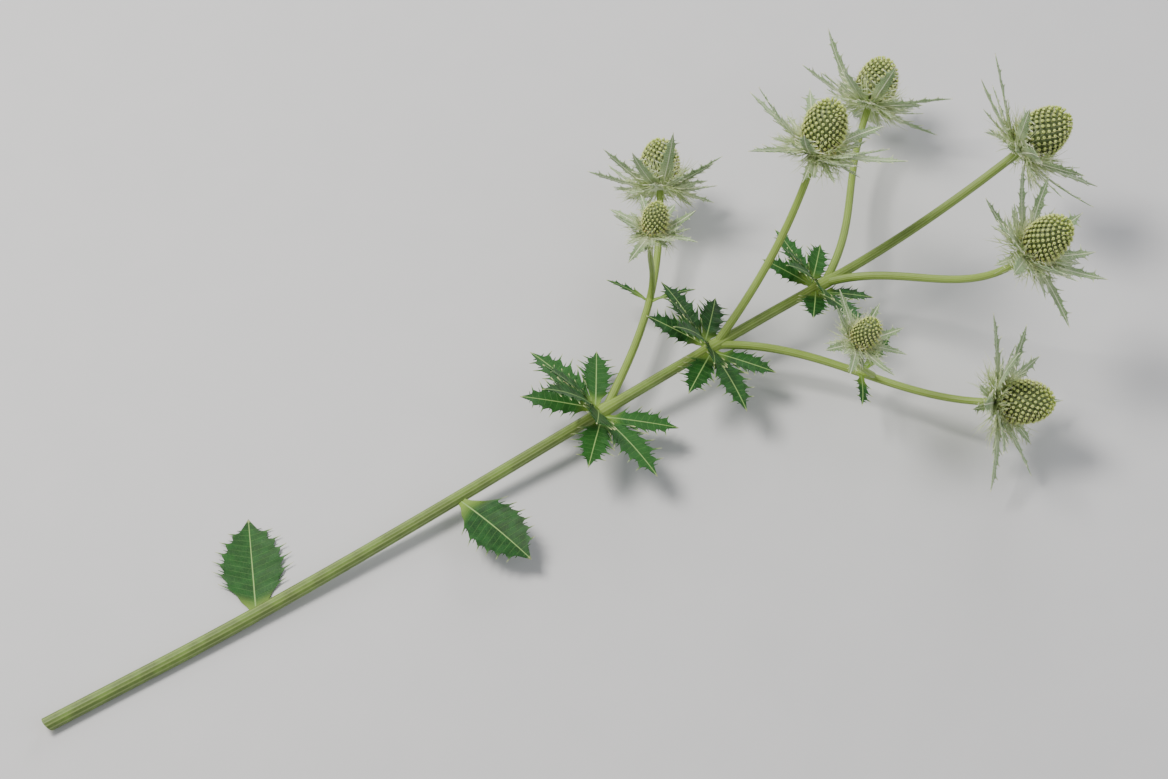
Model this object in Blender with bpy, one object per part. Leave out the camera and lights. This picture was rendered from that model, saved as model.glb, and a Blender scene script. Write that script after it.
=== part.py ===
"""A cut sea holly stem, lying on its side on a flat surface.

The model is in metres with +Z up. The stem lies along X, its cut end at -X and its flower heads at +X.
The origin is on the surface, under the middle of the whole plant.

One solid holds the main stem with its side branches. Each flower head is a cone of florets that sits in a
collar of spiny bracts. Leaves stand singly on the lower stem, in whorls of three where the stem branches,
and in small pairs where two of the side branches fork again.
"""

import math
import random

import bmesh
import bpy
from mathutils import Matrix, Vector

MM = 0.001
GAP = 0.3 * MM

# The cut end's place in the part's frame, on the surface
CUT_END = Vector((-313.7, -0.4, 0.0)) * MM

# The main stem: its length along X, and how it lies
STEM_LENGTH = 590 * MM
STEM_FLAT = 70 * MM
STEM_RISE = 40 * MM
STEM_SWAY = 11 * MM
TIP_LIFT = 26 * MM
STEM_RADIUS = 3.9 * MM
TIP_RADIUS = 2.1 * MM
STEM_SIDES = 8
STEM_STEP = 34 * MM
CUT_SLANT = 0.55

# Where the main stem forks, and the swelling there
NODE_B = 330 * MM
NODE_C = 400 * MM
NODE_D = 470 * MM
NODE_SWELLING = 0.9 * MM
NODE_SPREAD = 5 * MM

# The side branches
BRANCH_RADIUS = 2.3 * MM
BRANCH_SIDES = 6
BRANCH_RINGS = 8
BRANCH_FORK_DEG = 32
BRANCH_PULL = 0.38
FORK_SHARE = 0.52

# A full-grown flower head, before its own size is applied
CONE_RADIUS = 10.2 * MM
CONE_HEIGHT = 27 * MM
CONE_FULLEST = 0.40
CONE_FOOT_DEG = -38
CONE_TOP_DEG = 80
FLORET_HEIGHT = 1.7 * MM
FLORETS_ROUND = 13
FLORET_ROWS = 15
YOUNG_FLORETS_ROUND = 9
YOUNG_FLORET_ROWS = 11
HUB_RADIUS = 8.2 * MM
HUB_FOOT_RADIUS = 3.4 * MM
HUB_HEIGHT = 3.1 * MM
HUB_SIDES = 12
CONE_GAP = 0.5 * MM

# Bracts: long blades with spine teeth, and short needles between them
BRACT_LENGTH = 41 * MM
BRACT_HALF_WIDTH = 2.5 * MM
BRACT_FOOT = 1.1 * MM
BRACT_WIDTHS = (0.85, 1.0, 0.95, 0.72, 0.35)
YOUNG_BRACT_WIDTHS = (0.9, 1.0, 0.75, 0.35)
BRACT_TOOTH = 4.4 * MM
BRACT_SUNK = 2.6 * MM
NEEDLE_LENGTH = 17 * MM
NEEDLE_RADIUS = 0.75 * MM
STEEPEST_BRACT_DEG = 78

# Leaves: lobes with spine teeth, joined at the foot. Half widths and teeth are shares of the length
BROAD_WIDTHS = (0.6, 0.92, 1.0, 0.96, 0.82, 0.6, 0.28)
LEAF_KINDS = {
    "lobed": ([(-46, 0.82), (0, 1.0), (46, 0.82)], 0.12, (0.5, 0.85, 1.0, 0.95, 0.7, 0.3), 0.085),
    "broad": ([(0, 1.0)], 0.25, BROAD_WIDTHS, 0.07),
    "resting": ([(0, 1.0)], 0.25, BROAD_WIDTHS, 0.07),
    "small": ([(0, 1.0)], 0.09, (0.85, 1.0, 0.75, 0.35), 0.1),
}
LEAF_FOOT = 1.9 * MM
LEAF_EDGE = 0.6 * MM
RESTING_LEAF_INSET = 2.3 * MM
SINUS_REACH = 0.2
LOBED_FROM = 0.26
LOBE_CLEARANCE = 0.35 * MM

# A blade is a flat wedge each side of its rib
RIB_ABOVE = 0.3 * MM
RIB_BELOW = 1.0 * MM
RIB_THINS = 0.55
EDGE_RAISED = 0.16
FIRST_VALLEY = 0.14
LAST_VALLEY = 0.88
TOOTH_LEAN = 0.68
TOOTH_SHORTENS = 0.4

# Heads: name, node they grow from, foot (x, y, z from the cut end), heading, pitch, size, bracts, turn
HEADS = [
    ("2", "B", (428, 104, 34.0), 58, 24, 0.95, 10, 10),
    ("3", "C", (500, -108, 34.0), -48, 22, 1.0, 10, 4),
    ("4", "C", (478, 34, 106), 25, 62, 1.0, 10, 6),
    ("5", "D", (560, 92, 34.0), 36, 24, 1.0, 10, 18),
    ("6", "D", (538, -72, 94), -22, 52, 0.95, 10, 7),
    ("7", "2", (387, 50, 82), 30, 72, 0.62, 8, 0),
    ("8", "3", (438, -64, 80), -30, 66, 0.62, 8, 25),
]
TOP_HEAD = ("1", 1.1, 10, 8)
YOUNG = ("7", "8")

# Leaves: name, kind, what they grow on, how far along it, heading, pitch, share turned to the sky,
# length, arch
LEAVES = [
    ("stem_leaf_1", "resting", "stem", 118, 66, 0, 1.0, 58, 0),
    ("stem_leaf_2", "broad", "stem", 238, -76, 10, 0.95, 52, -16),
    ("whorl_b_leaf_1", "lobed", "stem", 326, 100, 12, 0.8, 50, -20),
    ("whorl_b_leaf_2", "lobed", "stem", 326, -84, 16, 0.8, 50, -22),
    ("whorl_b_leaf_3", "lobed", "stem", 326, 160, 62, 0.2, 46, -30),
    ("whorl_c_leaf_1", "lobed", "stem", 395, 85, 20, 0.7, 44, -22),
    ("whorl_c_leaf_2", "lobed", "stem", 396, -96, 14, 0.8, 44, -22),
    ("whorl_c_leaf_3", "lobed", "stem", 396, 176, 70, 0.1, 40, -30),
    ("whorl_d_leaf_1", "lobed", "stem", 463, 84, 22, 0.7, 38, -20),
    ("whorl_d_leaf_2", "lobed", "stem", 463, -78, 22, 0.7, 38, -20),
    ("whorl_d_leaf_3", "lobed", "stem", 466, 170, 66, 0.1, 35, -26),
    ("fork_2_leaf_1", "small", "2", 0, 120, 20, 0.6, 24, -15),
    ("fork_2_leaf_2", "small", "2", 0, -20, 22, 0.6, 24, -15),
    ("fork_3_leaf_1", "small", "3", 0, 12, 24, 0.6, 24, -15),
    ("fork_3_leaf_2", "small", "3", 0, -120, 20, 0.6, 24, -15),
]

# Colours and finish: red, green, blue, roughness
FINISHES = {
    "stem green": (0.22, 0.32, 0.09, 0.55),
    "floret green": (0.42, 0.52, 0.17, 0.6),
    "bract silver green": (0.40, 0.48, 0.32, 0.6),
    "leaf green": (0.06, 0.18, 0.06, 0.5),
}


def remove_startup_objects():
    for obj in list(bpy.data.objects):
        bpy.data.objects.remove(obj)


def material(name):
    """A Principled BSDF with one of the plant's colours"""
    found = bpy.data.materials.get(name)
    if found:
        return found
    red, green, blue, roughness = FINISHES[name]
    made = bpy.data.materials.new(name)
    made.use_nodes = True
    shader = made.node_tree.nodes["Principled BSDF"]
    shader.inputs["Base Color"].default_value = (red, green, blue, 1)
    shader.inputs["Roughness"].default_value = roughness
    shader.inputs["Metallic"].default_value = 0
    return made


def add_object(name, bm, finish, parent=None, place=None):
    """Makes an object from a bmesh, with its faces pointing out"""
    bmesh.ops.recalc_face_normals(bm, faces=bm.faces)
    mesh = bpy.data.meshes.new(name)
    bm.to_mesh(mesh)
    bm.free()
    obj = bpy.data.objects.new(name, mesh)
    bpy.context.collection.objects.link(obj)
    obj.data.materials.append(material(finish))
    if parent:
        obj.parent = parent
    if place:
        obj.matrix_local = place
    return obj


def fuse(base, others, solver):
    """Joins the other objects to the base in one solid, and removes them"""
    repeats = bpy.data.collections.new("repeats")
    bpy.context.scene.collection.children.link(repeats)
    for obj in others:
        bpy.context.collection.objects.unlink(obj)
        repeats.objects.link(obj)
    union = base.modifiers.new("Join repeats", "BOOLEAN")
    union.operation = "UNION"
    union.operand_type = "COLLECTION"
    union.collection = repeats
    union.solver = solver
    graph = bpy.context.evaluated_depsgraph_get()
    joined = bpy.data.meshes.new_from_object(base.evaluated_get(graph))
    base.modifiers.clear()
    base.data = joined
    for obj in others:
        bpy.data.objects.remove(obj)
    bpy.data.collections.remove(repeats)


def shade_smooth(obj, degrees):
    """Rounds off the look of every edge that turns less than this"""
    obj.data.shade_smooth()
    obj.data.set_sharp_from_angle(angle=math.radians(degrees))


def direction(heading, pitch):
    """The unit vector at a compass heading from +X and a pitch above the surface, in degrees"""
    h, p = math.radians(heading), math.radians(pitch)
    return Vector((math.cos(h) * math.cos(p), math.sin(h) * math.cos(p), math.sin(p)))


def frame_along(axis, face):
    """A rotation whose X is the axis and whose Z is as near to face as it can be"""
    x = axis.normalized()
    y = face.cross(x).normalized()
    z = x.cross(y)
    return Matrix((x, y, z)).transposed()


def stem_point(s):
    """The middle of the main stem at a distance s along X: level at first, then rising with a slow sway"""
    along = max(0.0, s - STEM_FLAT) / (STEM_LENGTH - STEM_FLAT)
    tip = max(0.0, s - NODE_D) / (STEM_LENGTH - NODE_D)
    lowest = STEM_RADIUS * math.cos(math.pi / STEM_SIDES)
    y = STEM_SWAY * math.sin(math.pi * along) * along
    z = lowest + STEM_RISE * along**1.5 + TIP_LIFT * tip**2
    return Vector((s, y, z))


def stem_direction(s):
    step = 0.5 * MM
    return (stem_point(s + step) - stem_point(s - step)).normalized()


def stem_radius(s):
    """The main stem thins towards its tip, and swells at each fork"""
    thinned = STEM_RADIUS + (TIP_RADIUS - STEM_RADIUS) * (max(0.0, s - STEM_FLAT) / STEM_LENGTH)
    swell = sum(math.exp(-(((s - node) / NODE_SPREAD) ** 2)) for node in (NODE_B, NODE_C, NODE_D))
    return thinned + NODE_SWELLING * swell


def tube(name, points, radii, sides, last_direction, slant=0.0):
    """A round stem through the points, closed at both ends. Its first end is cut at a slant"""
    bm = bmesh.new()
    rings = []
    across = Vector((0, 1, 0))
    for i, (point, radius) in enumerate(zip(points, radii)):
        before, after = points[max(i - 1, 0)], points[min(i + 1, len(points) - 1)]
        ahead = last_direction if i == len(points) - 1 else (after - before).normalized()
        across = (across - across.dot(ahead) * ahead).normalized()
        up = ahead.cross(across)
        ring = []
        for side in range(sides):
            angle = 2 * math.pi * (side + 0.5) / sides
            offset = radius * (math.cos(angle) * across + math.sin(angle) * up)
            if i == 0:
                offset -= slant * offset.z * ahead
            ring.append(bm.verts.new(point + offset))
        rings.append(ring)
    for lower, upper in zip(rings, rings[1:]):
        for a in range(sides):
            b = (a + 1) % sides
            bm.faces.new((lower[a], lower[b], upper[b], upper[a]))
    bm.faces.new(rings[0])
    bm.faces.new(rings[-1])
    return add_object(name, bm, "stem green")


def bezier(p0, p1, p2, p3, t):
    u = 1 - t
    return u**3 * p0 + 3 * u * u * t * p1 + 3 * u * t * t * p2 + t**3 * p3


def branch_curve(start, along, foot, axis):
    """A branch leaves its parent at a set angle and ends in line with its head"""
    reach = (foot - start).length * BRANCH_PULL
    sideways = foot - start
    sideways = (sideways - sideways.dot(along) * along).normalized()
    fork = math.radians(BRANCH_FORK_DEG)
    leaving = math.cos(fork) * along + math.sin(fork) * sideways
    return start, start + leaving * reach, foot - axis * reach, foot


def fork_of(curve):
    """The point and direction where a side branch forks again"""
    near, far = bezier(*curve, FORK_SHARE - 0.01), bezier(*curve, FORK_SHARE + 0.01)
    return bezier(*curve, FORK_SHARE), (far - near).normalized()


def plan_branches():
    """The curve of each side branch, by the name of its head"""
    nodes = {"B": NODE_B, "C": NODE_C, "D": NODE_D}
    curves = {}
    for name, grows_from, foot, heading, pitch, *_ in HEADS:
        if grows_from in nodes:
            start, along = stem_point(nodes[grows_from]), stem_direction(nodes[grows_from])
        else:
            start, along = fork_of(curves[grows_from])
        curves[name] = branch_curve(start, along, Vector(foot) * MM, direction(heading, pitch))
    return curves


def build_stem(plant, curves):
    """The main stem and its side branches, grown as one piece"""
    stations = [0.0, STEM_FLAT]
    while stations[-1] + STEM_STEP < STEM_LENGTH:
        stations.append(stations[-1] + STEM_STEP)
    for node in (NODE_B, NODE_C, NODE_D):
        stations = [s for s in stations if abs(s - node) > 2.4 * NODE_SPREAD]
        stations += [node - 1.6 * NODE_SPREAD, node, node + 1.6 * NODE_SPREAD]
    stations = sorted(s for s in stations if s < STEM_LENGTH - STEM_STEP / 2) + [STEM_LENGTH]
    stem = tube(
        "stem",
        [stem_point(s) for s in stations],
        [stem_radius(s) for s in stations],
        STEM_SIDES,
        stem_direction(STEM_LENGTH - 0.5 * MM),
        CUT_SLANT,
    )
    branches = []
    for name, _, _, heading, pitch, *_ in HEADS:
        shares = [i / (BRANCH_RINGS - 1) for i in range(BRANCH_RINGS)]
        thin = 0.72 if name in YOUNG else 1.0
        radii = [BRANCH_RADIUS * thin * (1 - 0.15 * share) for share in shares]
        points = [bezier(*curves[name], share) for share in shares]
        branches.append(tube("branch_" + name, points, radii, BRANCH_SIDES, direction(heading, pitch)))
    fuse(stem, branches, "EXACT")
    stem.parent = plant
    shade_smooth(stem, 50)


def cone_outline(size, rows):
    """Radius and height of each row up an egg-shaped cone, the rows evenly spaced along its surface"""
    fullest = CONE_FULLEST * CONE_HEIGHT
    foot, top = math.radians(CONE_FOOT_DEG), math.radians(CONE_TOP_DEG)
    below = fullest / math.sin(-foot)
    above = CONE_HEIGHT - fullest
    fine = []
    steps = 400
    for i in range(steps + 1):
        angle = foot + (top - foot) * i / steps
        height = fullest + math.sin(angle) * (above if angle > 0 else below)
        fine.append(Vector((CONE_RADIUS * math.cos(angle), height)))
    lengths = [0.0]
    for a, b in zip(fine, fine[1:]):
        lengths.append(lengths[-1] + (b - a).length)
    outline = []
    for row in range(rows + 1):
        wanted = lengths[-1] * row / rows
        nearest = min(range(len(lengths)), key=lambda i: abs(lengths[i] - wanted))
        outline.append(fine[nearest] * size)
    return outline


def build_cone(name, plant, place, size):
    """A cone covered all over in florets. They stand in staggered rows, each one a four-sided point"""
    young = name in YOUNG
    around = YOUNG_FLORETS_ROUND if young else FLORETS_ROUND
    rows = YOUNG_FLORET_ROWS if young else FLORET_ROWS
    outline = cone_outline(size, rows)
    foot = HUB_HEIGHT * size + CONE_GAP
    bm = bmesh.new()

    def spot(row, step, raised=0.0):
        radius, height = outline[row]
        below, above = outline[max(row - 1, 0)], outline[min(row + 1, rows)]
        slope = (above - below).normalized()
        radius += raised * slope.y
        height -= raised * slope.x
        angle = 2 * math.pi * (step + 0.5 * (row % 2)) / around
        return bm.verts.new((radius * math.cos(angle), radius * math.sin(angle), foot + height))

    net = [[spot(row, step) for step in range(around)] for row in range(rows + 1)]
    for row in range(1, rows):
        shift = row % 2
        for step in range(around):
            left, right = net[row][step], net[row][(step + 1) % around]
            below = net[row - 1][(step + shift) % around]
            above = net[row + 1][(step + shift) % around]
            share = row / rows
            floret = spot(row, step + 0.5, FLORET_HEIGHT * size**0.5 * (1 - 0.45 * share**3))
            corners = (left, below, right, above)
            for a, b in zip(corners, corners[1:] + corners[:1]):
                bm.faces.new((floret, a, b))
    for row, inner in ((0, 1), (rows, rows - 1)):
        for step in range(around):
            nearest = net[inner][(step + row % 2) % around]
            bm.faces.new((net[row][step], net[row][(step + 1) % around], nearest))
    bm.faces.new(net[0])
    tip = bm.verts.new((0, 0, foot + outline[-1].y + 0.6 * MM * size))
    for step in range(around):
        bm.faces.new((net[rows][step], net[rows][(step + 1) % around], tip))
    add_object("cone_" + name, bm, "floret green", plant, place)


def bend(point, arch, length):
    """Curls a flat blade in an arc along its X, up where arch is positive, down where negative"""
    turn = math.radians(arch) / length
    if abs(turn) < 1e-6:
        return point
    x, y, z = point
    angle = turn * x
    return Vector(((1 / turn - z) * math.sin(angle), y, 1 / turn - (1 / turn - z) * math.cos(angle)))


def lobe_lines(angle, length, half_width, widths, tooth, edge_raised, room):
    """A lobe's rib and its two edges as rows of points, each with how far along the lobe it is and
    whether it is a spine's tip. Beside another lobe, room is half the angle between the two, and the
    edge starts past the sinus and stays clear of the other lobe"""
    turned = Matrix.Rotation(math.radians(angle), 3, "Z")
    teeth = len(widths) - 1
    step = (LAST_VALLEY - FIRST_VALLEY) / teeth
    rib = []
    edges = {1: [], -1: []}

    def edge_point(side, at, reach, raised, pointed):
        if room[side] is not None:
            reach = min(reach, at * length * math.tan(room[side]) - LOBE_CLEARANCE)
            if at < LOBED_FROM:
                return
        edges[side].append((turned @ Vector((at * length, side * reach, raised)), at, pointed))

    for i, width in enumerate(widths):
        share = FIRST_VALLEY + i * step
        w = half_width * width
        if i < teeth:
            rib.append((turned @ Vector((share * length, 0, 0)), share))
        for side in (1, -1):
            edge_point(side, share, w, edge_raised * w, False)
            if i < teeth:
                at = share + TOOTH_LEAN * step
                out = half_width * (width + widths[i + 1]) / 2 + tooth * (1 - TOOTH_SHORTENS * share)
                edge_point(side, at, out, edge_raised * w, True)
    return rib, edges, turned @ Vector((length, 0, 0))


def fill_between(bm, first, second):
    """Faces between two lines of points that start and end together, by how far along each point is"""
    i = j = 0
    while i < len(first) - 1 or j < len(second) - 1:
        next_first = first[i + 1][1] if i < len(first) - 1 else 9.0
        next_second = second[j + 1][1] if j < len(second) - 1 else 9.0
        if next_first <= next_second:
            corners = (first[i][0], first[i + 1][0], second[j][0])
            i += 1
        else:
            corners = (first[i][0], second[j + 1][0], second[j][0])
            j += 1
        if len(set(corners)) == 3:
            bm.faces.new(corners)


def toothed_blade(
    name, finish, lobes, length, half_width, widths, tooth, foot_half, arch, edge=0.0, flat_below=False
):
    """A blade of one or more lobes, thickest along each rib, with a spine at each tooth.
    Its edges are sharp, or edge thick. Flat below, it lies on its underside."""
    bm = bmesh.new()
    above, below, edge_raised = RIB_ABOVE, -RIB_BELOW, EDGE_RAISED
    edge_above, edge_below, spine_lift = edge / 2, -edge / 2, 0.0
    if flat_below:
        above, below, edge_raised = RIB_BELOW + edge, 0.0, 0.0
        edge_above, edge_below = edge, 0.0

    def vert(point, along, lift=0.0):
        return bm.verts.new(bend(point + Vector((0, 0, lift)), arch, length)), along

    def edge_pair(point, along, pointed=False):
        """The upper and lower corner of an edge, which are one and the same at a spine's tip"""
        upper = vert(point, along, spine_lift if pointed else edge_above)
        return upper, upper if pointed or edge == 0 else vert(point, along, edge_below)

    feet = (vert(Vector(), 0.0, above), vert(Vector(), 0.0, below))
    corners = {
        side: edge_pair(Vector((0, side * foot_half, edge_raised * foot_half)), 0.0) for side in (1, -1)
    }
    right = corners[-1]
    room = {side: None for side in (1, -1)}
    for index, (angle, share) in enumerate(lobes):
        left, room[1] = corners[1], None
        if index < len(lobes) - 1:
            room[1] = math.radians((lobes[index + 1][0] - angle) / 2)
            between = math.radians((angle + lobes[index + 1][0]) / 2)
            sinus = Vector((math.cos(between), math.sin(between), 0)) * length * SINUS_REACH
            left = edge_pair(sinus + Vector((0, 0, edge_raised * half_width)), 0.0)
        rib, edges, tip = lobe_lines(angle, length * share, half_width, widths, tooth, edge_raised, room)
        tip = edge_pair(tip, 1.0, pointed=True)
        outline = {
            side: [start, *(edge_pair(*point) for point in edges[side]), tip]
            for side, start in ((1, left), (-1, right))
        }
        for surface, lift in enumerate((above, below)):
            ridge = [vert(point, along, lift * (1 - RIB_THINS * along)) for point, along in rib]
            middle = [feet[surface], *ridge, tip[surface]]
            for side in (1, -1):
                fill_between(bm, middle, [pair[surface] for pair in outline[side]])
        for side in (1, -1):
            for near, far in zip(outline[side], outline[side][1:]):
                fill_rim(bm, near, far)
        right, room[-1] = left, room[1]
    for side in (1, -1):
        fill_rim(bm, feet, corners[side])
    return add_object(name, bm, finish)


def fill_rim(bm, near, far):
    """The wall between two corners of an edge, where the edge has any thickness"""
    loop = [near[0][0], far[0][0], far[1][0], near[1][0]]
    corners = [corner for i, corner in enumerate(loop) if corner not in loop[:i]]
    if len(corners) == 4:
        bm.faces.new(corners[:3])
        bm.faces.new((corners[0], corners[2], corners[3]))
    elif len(corners) == 3:
        bm.faces.new(corners)


def needle(name, length, radius):
    """A straight spine with three sides, along X"""
    bm = bmesh.new()
    root = [
        bm.verts.new((0, radius * math.cos(a), radius * math.sin(a)))
        for a in (math.radians(90), math.radians(210), math.radians(330))
    ]
    tip = bm.verts.new((length, 0, 0))
    bm.faces.new(root)
    for a, b in zip(root, root[1:] + root[:1]):
        bm.faces.new((a, b, tip))
    return add_object(name, bm, "bract silver green")


def build_hub(name, size):
    """The flat cup under the cone, which the bracts grow from"""
    bm = bmesh.new()
    heights = ((GAP, HUB_FOOT_RADIUS), (0.45 * HUB_HEIGHT, HUB_RADIUS * 0.9), (HUB_HEIGHT, HUB_RADIUS))
    rings = []
    for height, radius in heights:
        height = height if height == GAP else height * size
        rings.append([
            bm.verts.new((
                radius * size * math.cos(2 * math.pi * i / HUB_SIDES),
                radius * size * math.sin(2 * math.pi * i / HUB_SIDES),
                height,
            ))
            for i in range(HUB_SIDES)
        ])
    for lower, upper in zip(rings, rings[1:]):
        for a in range(HUB_SIDES):
            b = (a + 1) % HUB_SIDES
            bm.faces.new((lower[a], lower[b], upper[b], upper[a]))
    bm.faces.new(rings[0])
    bm.faces.new(rings[-1])
    return add_object(name, bm, "bract silver green")


def bract_plan(name, count, turn, size):
    """Each bract's bearing round the collar, rise, arch and length, with small seeded differences"""
    draw = random.Random("bracts " + name)
    plan = []
    for i in range(count):
        bearing = turn + 360 * i / count + draw.uniform(-5, 5)
        rise = (4, 24, 12, 28)[i % 4] + draw.uniform(-4, 4)
        arch = draw.uniform(-16, 26)
        length = BRACT_LENGTH * size * draw.uniform(0.84, 1.12)
        plan.append((bearing, rise, arch, length))
    return plan


def outwards(bearing, rise, radius, height):
    """The place of a blade that lies along X, turned so that it grows outwards from the collar"""
    spin = Matrix.Rotation(math.radians(bearing), 4, "Z")
    lift = Matrix.Rotation(math.radians(-rise), 4, "Y")
    return spin @ Matrix.Translation((radius, 0, height)) @ lift


def lowest_point(obj, place):
    return min((place @ corner.co).z for corner in obj.data.vertices)


def set_out(obj, place, bearing, rise, radius, height):
    """Turns a blade outwards. One that would go below the surface rises until it only touches it"""
    spot = outwards(bearing, rise, radius, height)
    if lowest_point(obj, place @ spot) < 0:
        low, high = rise, STEEPEST_BRACT_DEG
        for _ in range(40):
            rise = (low + high) / 2
            if lowest_point(obj, place @ outwards(bearing, rise, radius, height)) < 0:
                low = rise
            else:
                high = rise
        spot = outwards(bearing, high, radius, height)
    obj.matrix_local = spot


def build_collar(name, plant, place, size, count, turn):
    """A head's bracts and needles on their hub, fused in one piece"""
    collar = build_hub("bracts_" + name, size)
    root = HUB_RADIUS * size - BRACT_SUNK * size**0.5
    widths = YOUNG_BRACT_WIDTHS if name in YOUNG else BRACT_WIDTHS
    thick = size**0.5
    pieces = []
    for bearing, rise, arch, length in bract_plan(name, count, turn, size):
        blade = toothed_blade(
            "bract",
            "bract silver green",
            [(0, 1.0)],
            length,
            BRACT_HALF_WIDTH * thick,
            widths,
            BRACT_TOOTH * size,
            BRACT_FOOT * thick,
            arch,
        )
        set_out(blade, place, bearing, rise, root, 0.36 * HUB_HEIGHT * size)
        pieces.append(blade)
    draw = random.Random("needles " + name)
    for i in range(count):
        spine = needle("needle", NEEDLE_LENGTH * size * draw.uniform(0.8, 1.1), NEEDLE_RADIUS * thick)
        bearing = turn + 360 * (i + 0.5) / count
        set_out(spine, place, bearing, draw.uniform(-28, 30), root, 0.55 * HUB_HEIGHT * size)
        pieces.append(spine)
    bpy.context.view_layer.update()
    fuse(collar, pieces, "MANIFOLD")
    collar.parent = plant
    collar.matrix_local = place


def build_heads(plant):
    top = direction_angles(stem_direction(STEM_LENGTH - 0.5 * MM))
    name, size, count, turn = TOP_HEAD
    rows = [(name, stem_point(STEM_LENGTH), *top, size, count, turn)]
    for name, _, foot, heading, pitch, size, count, turn in HEADS:
        rows.append((name, Vector(foot) * MM, heading, pitch, size, count, turn))
    for name, foot, heading, pitch, size, count, turn in rows:
        axis = direction(heading, pitch)
        turned = frame_along(axis, Vector((0, 0, 1))) @ Matrix.Rotation(math.radians(90), 3, "Y")
        place = Matrix.Translation(foot) @ turned.to_4x4()
        build_collar(name, plant, place, size, count, turn)
        build_cone(name, plant, place, size)


def direction_angles(vector):
    """Heading and pitch of a unit vector, in degrees"""
    heading = math.degrees(math.atan2(vector.y, vector.x))
    return heading, math.degrees(math.asin(vector.z))


def build_leaves(plant, curves):
    """Each leaf starts just clear of the stem it grows on, and faces the stem's tip or the sky.
    The lowest leaf lies flat on the surface."""
    for name, kind, grows_on, distance, heading, pitch, to_sky, length, arch in LEAVES:
        if grows_on == "stem":
            s = distance * MM
            middle, along, radius = stem_point(s), stem_direction(s), stem_radius(s)
        else:
            middle, along = fork_of(curves[grows_on])
            radius = BRANCH_RADIUS
        ahead = direction(heading, pitch)
        radial = (ahead - ahead.dot(along) * along).normalized()
        foot = middle + radial * (radius + 2 * GAP)
        if kind == "resting":
            foot = Vector((middle.x, middle.y + math.copysign(RESTING_LEAF_INSET, heading), 0))
        face = along * (1 - to_sky) + Vector((0, 0, 1)) * to_sky
        lobes, half_width, widths, tooth = LEAF_KINDS[kind]
        length *= MM
        leaf = toothed_blade(
            name,
            "leaf green",
            lobes,
            length,
            half_width * length,
            widths,
            tooth * length,
            LEAF_FOOT,
            arch,
            LEAF_EDGE,
            flat_below=kind == "resting",
        )
        leaf.parent = plant
        leaf.matrix_local = Matrix.Translation(foot) @ frame_along(ahead, face).to_4x4()


def main():
    remove_startup_objects()
    plant = bpy.data.objects.new("plant", None)
    bpy.context.collection.objects.link(plant)
    plant.location = CUT_END
    curves = plan_branches()
    build_stem(plant, curves)
    build_heads(plant)
    build_leaves(plant, curves)


main()
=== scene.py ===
"""Dresses the sea holly stem: its florets, spiny bracts, toothed leaves and ribbed stem, and its stage."""

import math
import random

import bmesh
import bpy
import numpy as np
from mathutils import Matrix, Vector


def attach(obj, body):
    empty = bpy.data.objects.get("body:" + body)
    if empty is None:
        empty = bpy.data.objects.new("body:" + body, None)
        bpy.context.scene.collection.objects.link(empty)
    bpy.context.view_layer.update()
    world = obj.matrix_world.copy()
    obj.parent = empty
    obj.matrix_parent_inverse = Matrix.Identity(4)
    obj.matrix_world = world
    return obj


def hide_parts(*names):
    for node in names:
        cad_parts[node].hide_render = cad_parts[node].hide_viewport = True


bl_info = {
    "name": "Sea holly stem",
    "version": (1, 0, 0),
    "blender": (4, 5, 0),
    "location": "View3D > Sidebar > Sea holly",
    "description": "Grows a cut sea holly stem on its packed solids",
    "category": "Add Mesh",
}

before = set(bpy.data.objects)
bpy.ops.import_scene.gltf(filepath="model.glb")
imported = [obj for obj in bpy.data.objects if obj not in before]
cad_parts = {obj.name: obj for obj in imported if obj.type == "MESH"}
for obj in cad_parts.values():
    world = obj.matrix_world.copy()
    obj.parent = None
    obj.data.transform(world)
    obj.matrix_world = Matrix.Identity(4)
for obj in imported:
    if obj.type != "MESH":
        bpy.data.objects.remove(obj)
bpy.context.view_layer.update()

MM = 0.001
BODY = "root"

# The cut end's place on the surface, and how the main stem lies
CUT_END = Vector((-313.7, -0.4, 0.0)) * MM
STEM_LENGTH = 590 * MM
STEM_FLAT = 70 * MM
STEM_RISE = 40 * MM
STEM_SWAY = 11 * MM
TIP_LIFT = 26 * MM
STEM_RADIUS = 3.9 * MM
TIP_RADIUS = 2.1 * MM
STEM_LOWEST = 3.604 * MM
CUT_SLANT = 0.55
NODES = {"B": 330 * MM, "C": 400 * MM, "D": 470 * MM}
NODE_SWELLING = 0.9 * MM
NODE_SPREAD = 5 * MM

# Side branches
BRANCH_RADIUS = 2.3 * MM
BRANCH_FORK_DEG = 32
BRANCH_PULL = 0.38
FORK_SHARE = 0.52
YOUNG_BRANCH = 0.72

# How finely the stem and the branches are wrapped
STEM_RINGS = 120
STEM_SIDES = 20
BRANCH_RINGS = 36
BRANCH_SIDES = 14

# A full-grown head, before its own size is applied
CONE_RADIUS = 10.2 * MM
CONE_HEIGHT = 27 * MM
CONE_FULLEST = 0.40
CONE_FOOT_DEG = -38
CONE_TOP_DEG = 80
HUB_RADIUS = 8.2 * MM
HUB_FOOT_RADIUS = 3.4 * MM
HUB_HEIGHT = 3.1 * MM
HUB_FLARE = (1.35, 1.45, 1.18, 1.045)
CONE_SEAT = 0.5 * MM
CORE_UNDER = 0.5 * MM
CORE_TIP_UNDER = 0.9 * MM
GOLDEN_ANGLE = math.pi * (3 - math.sqrt(5))

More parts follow.
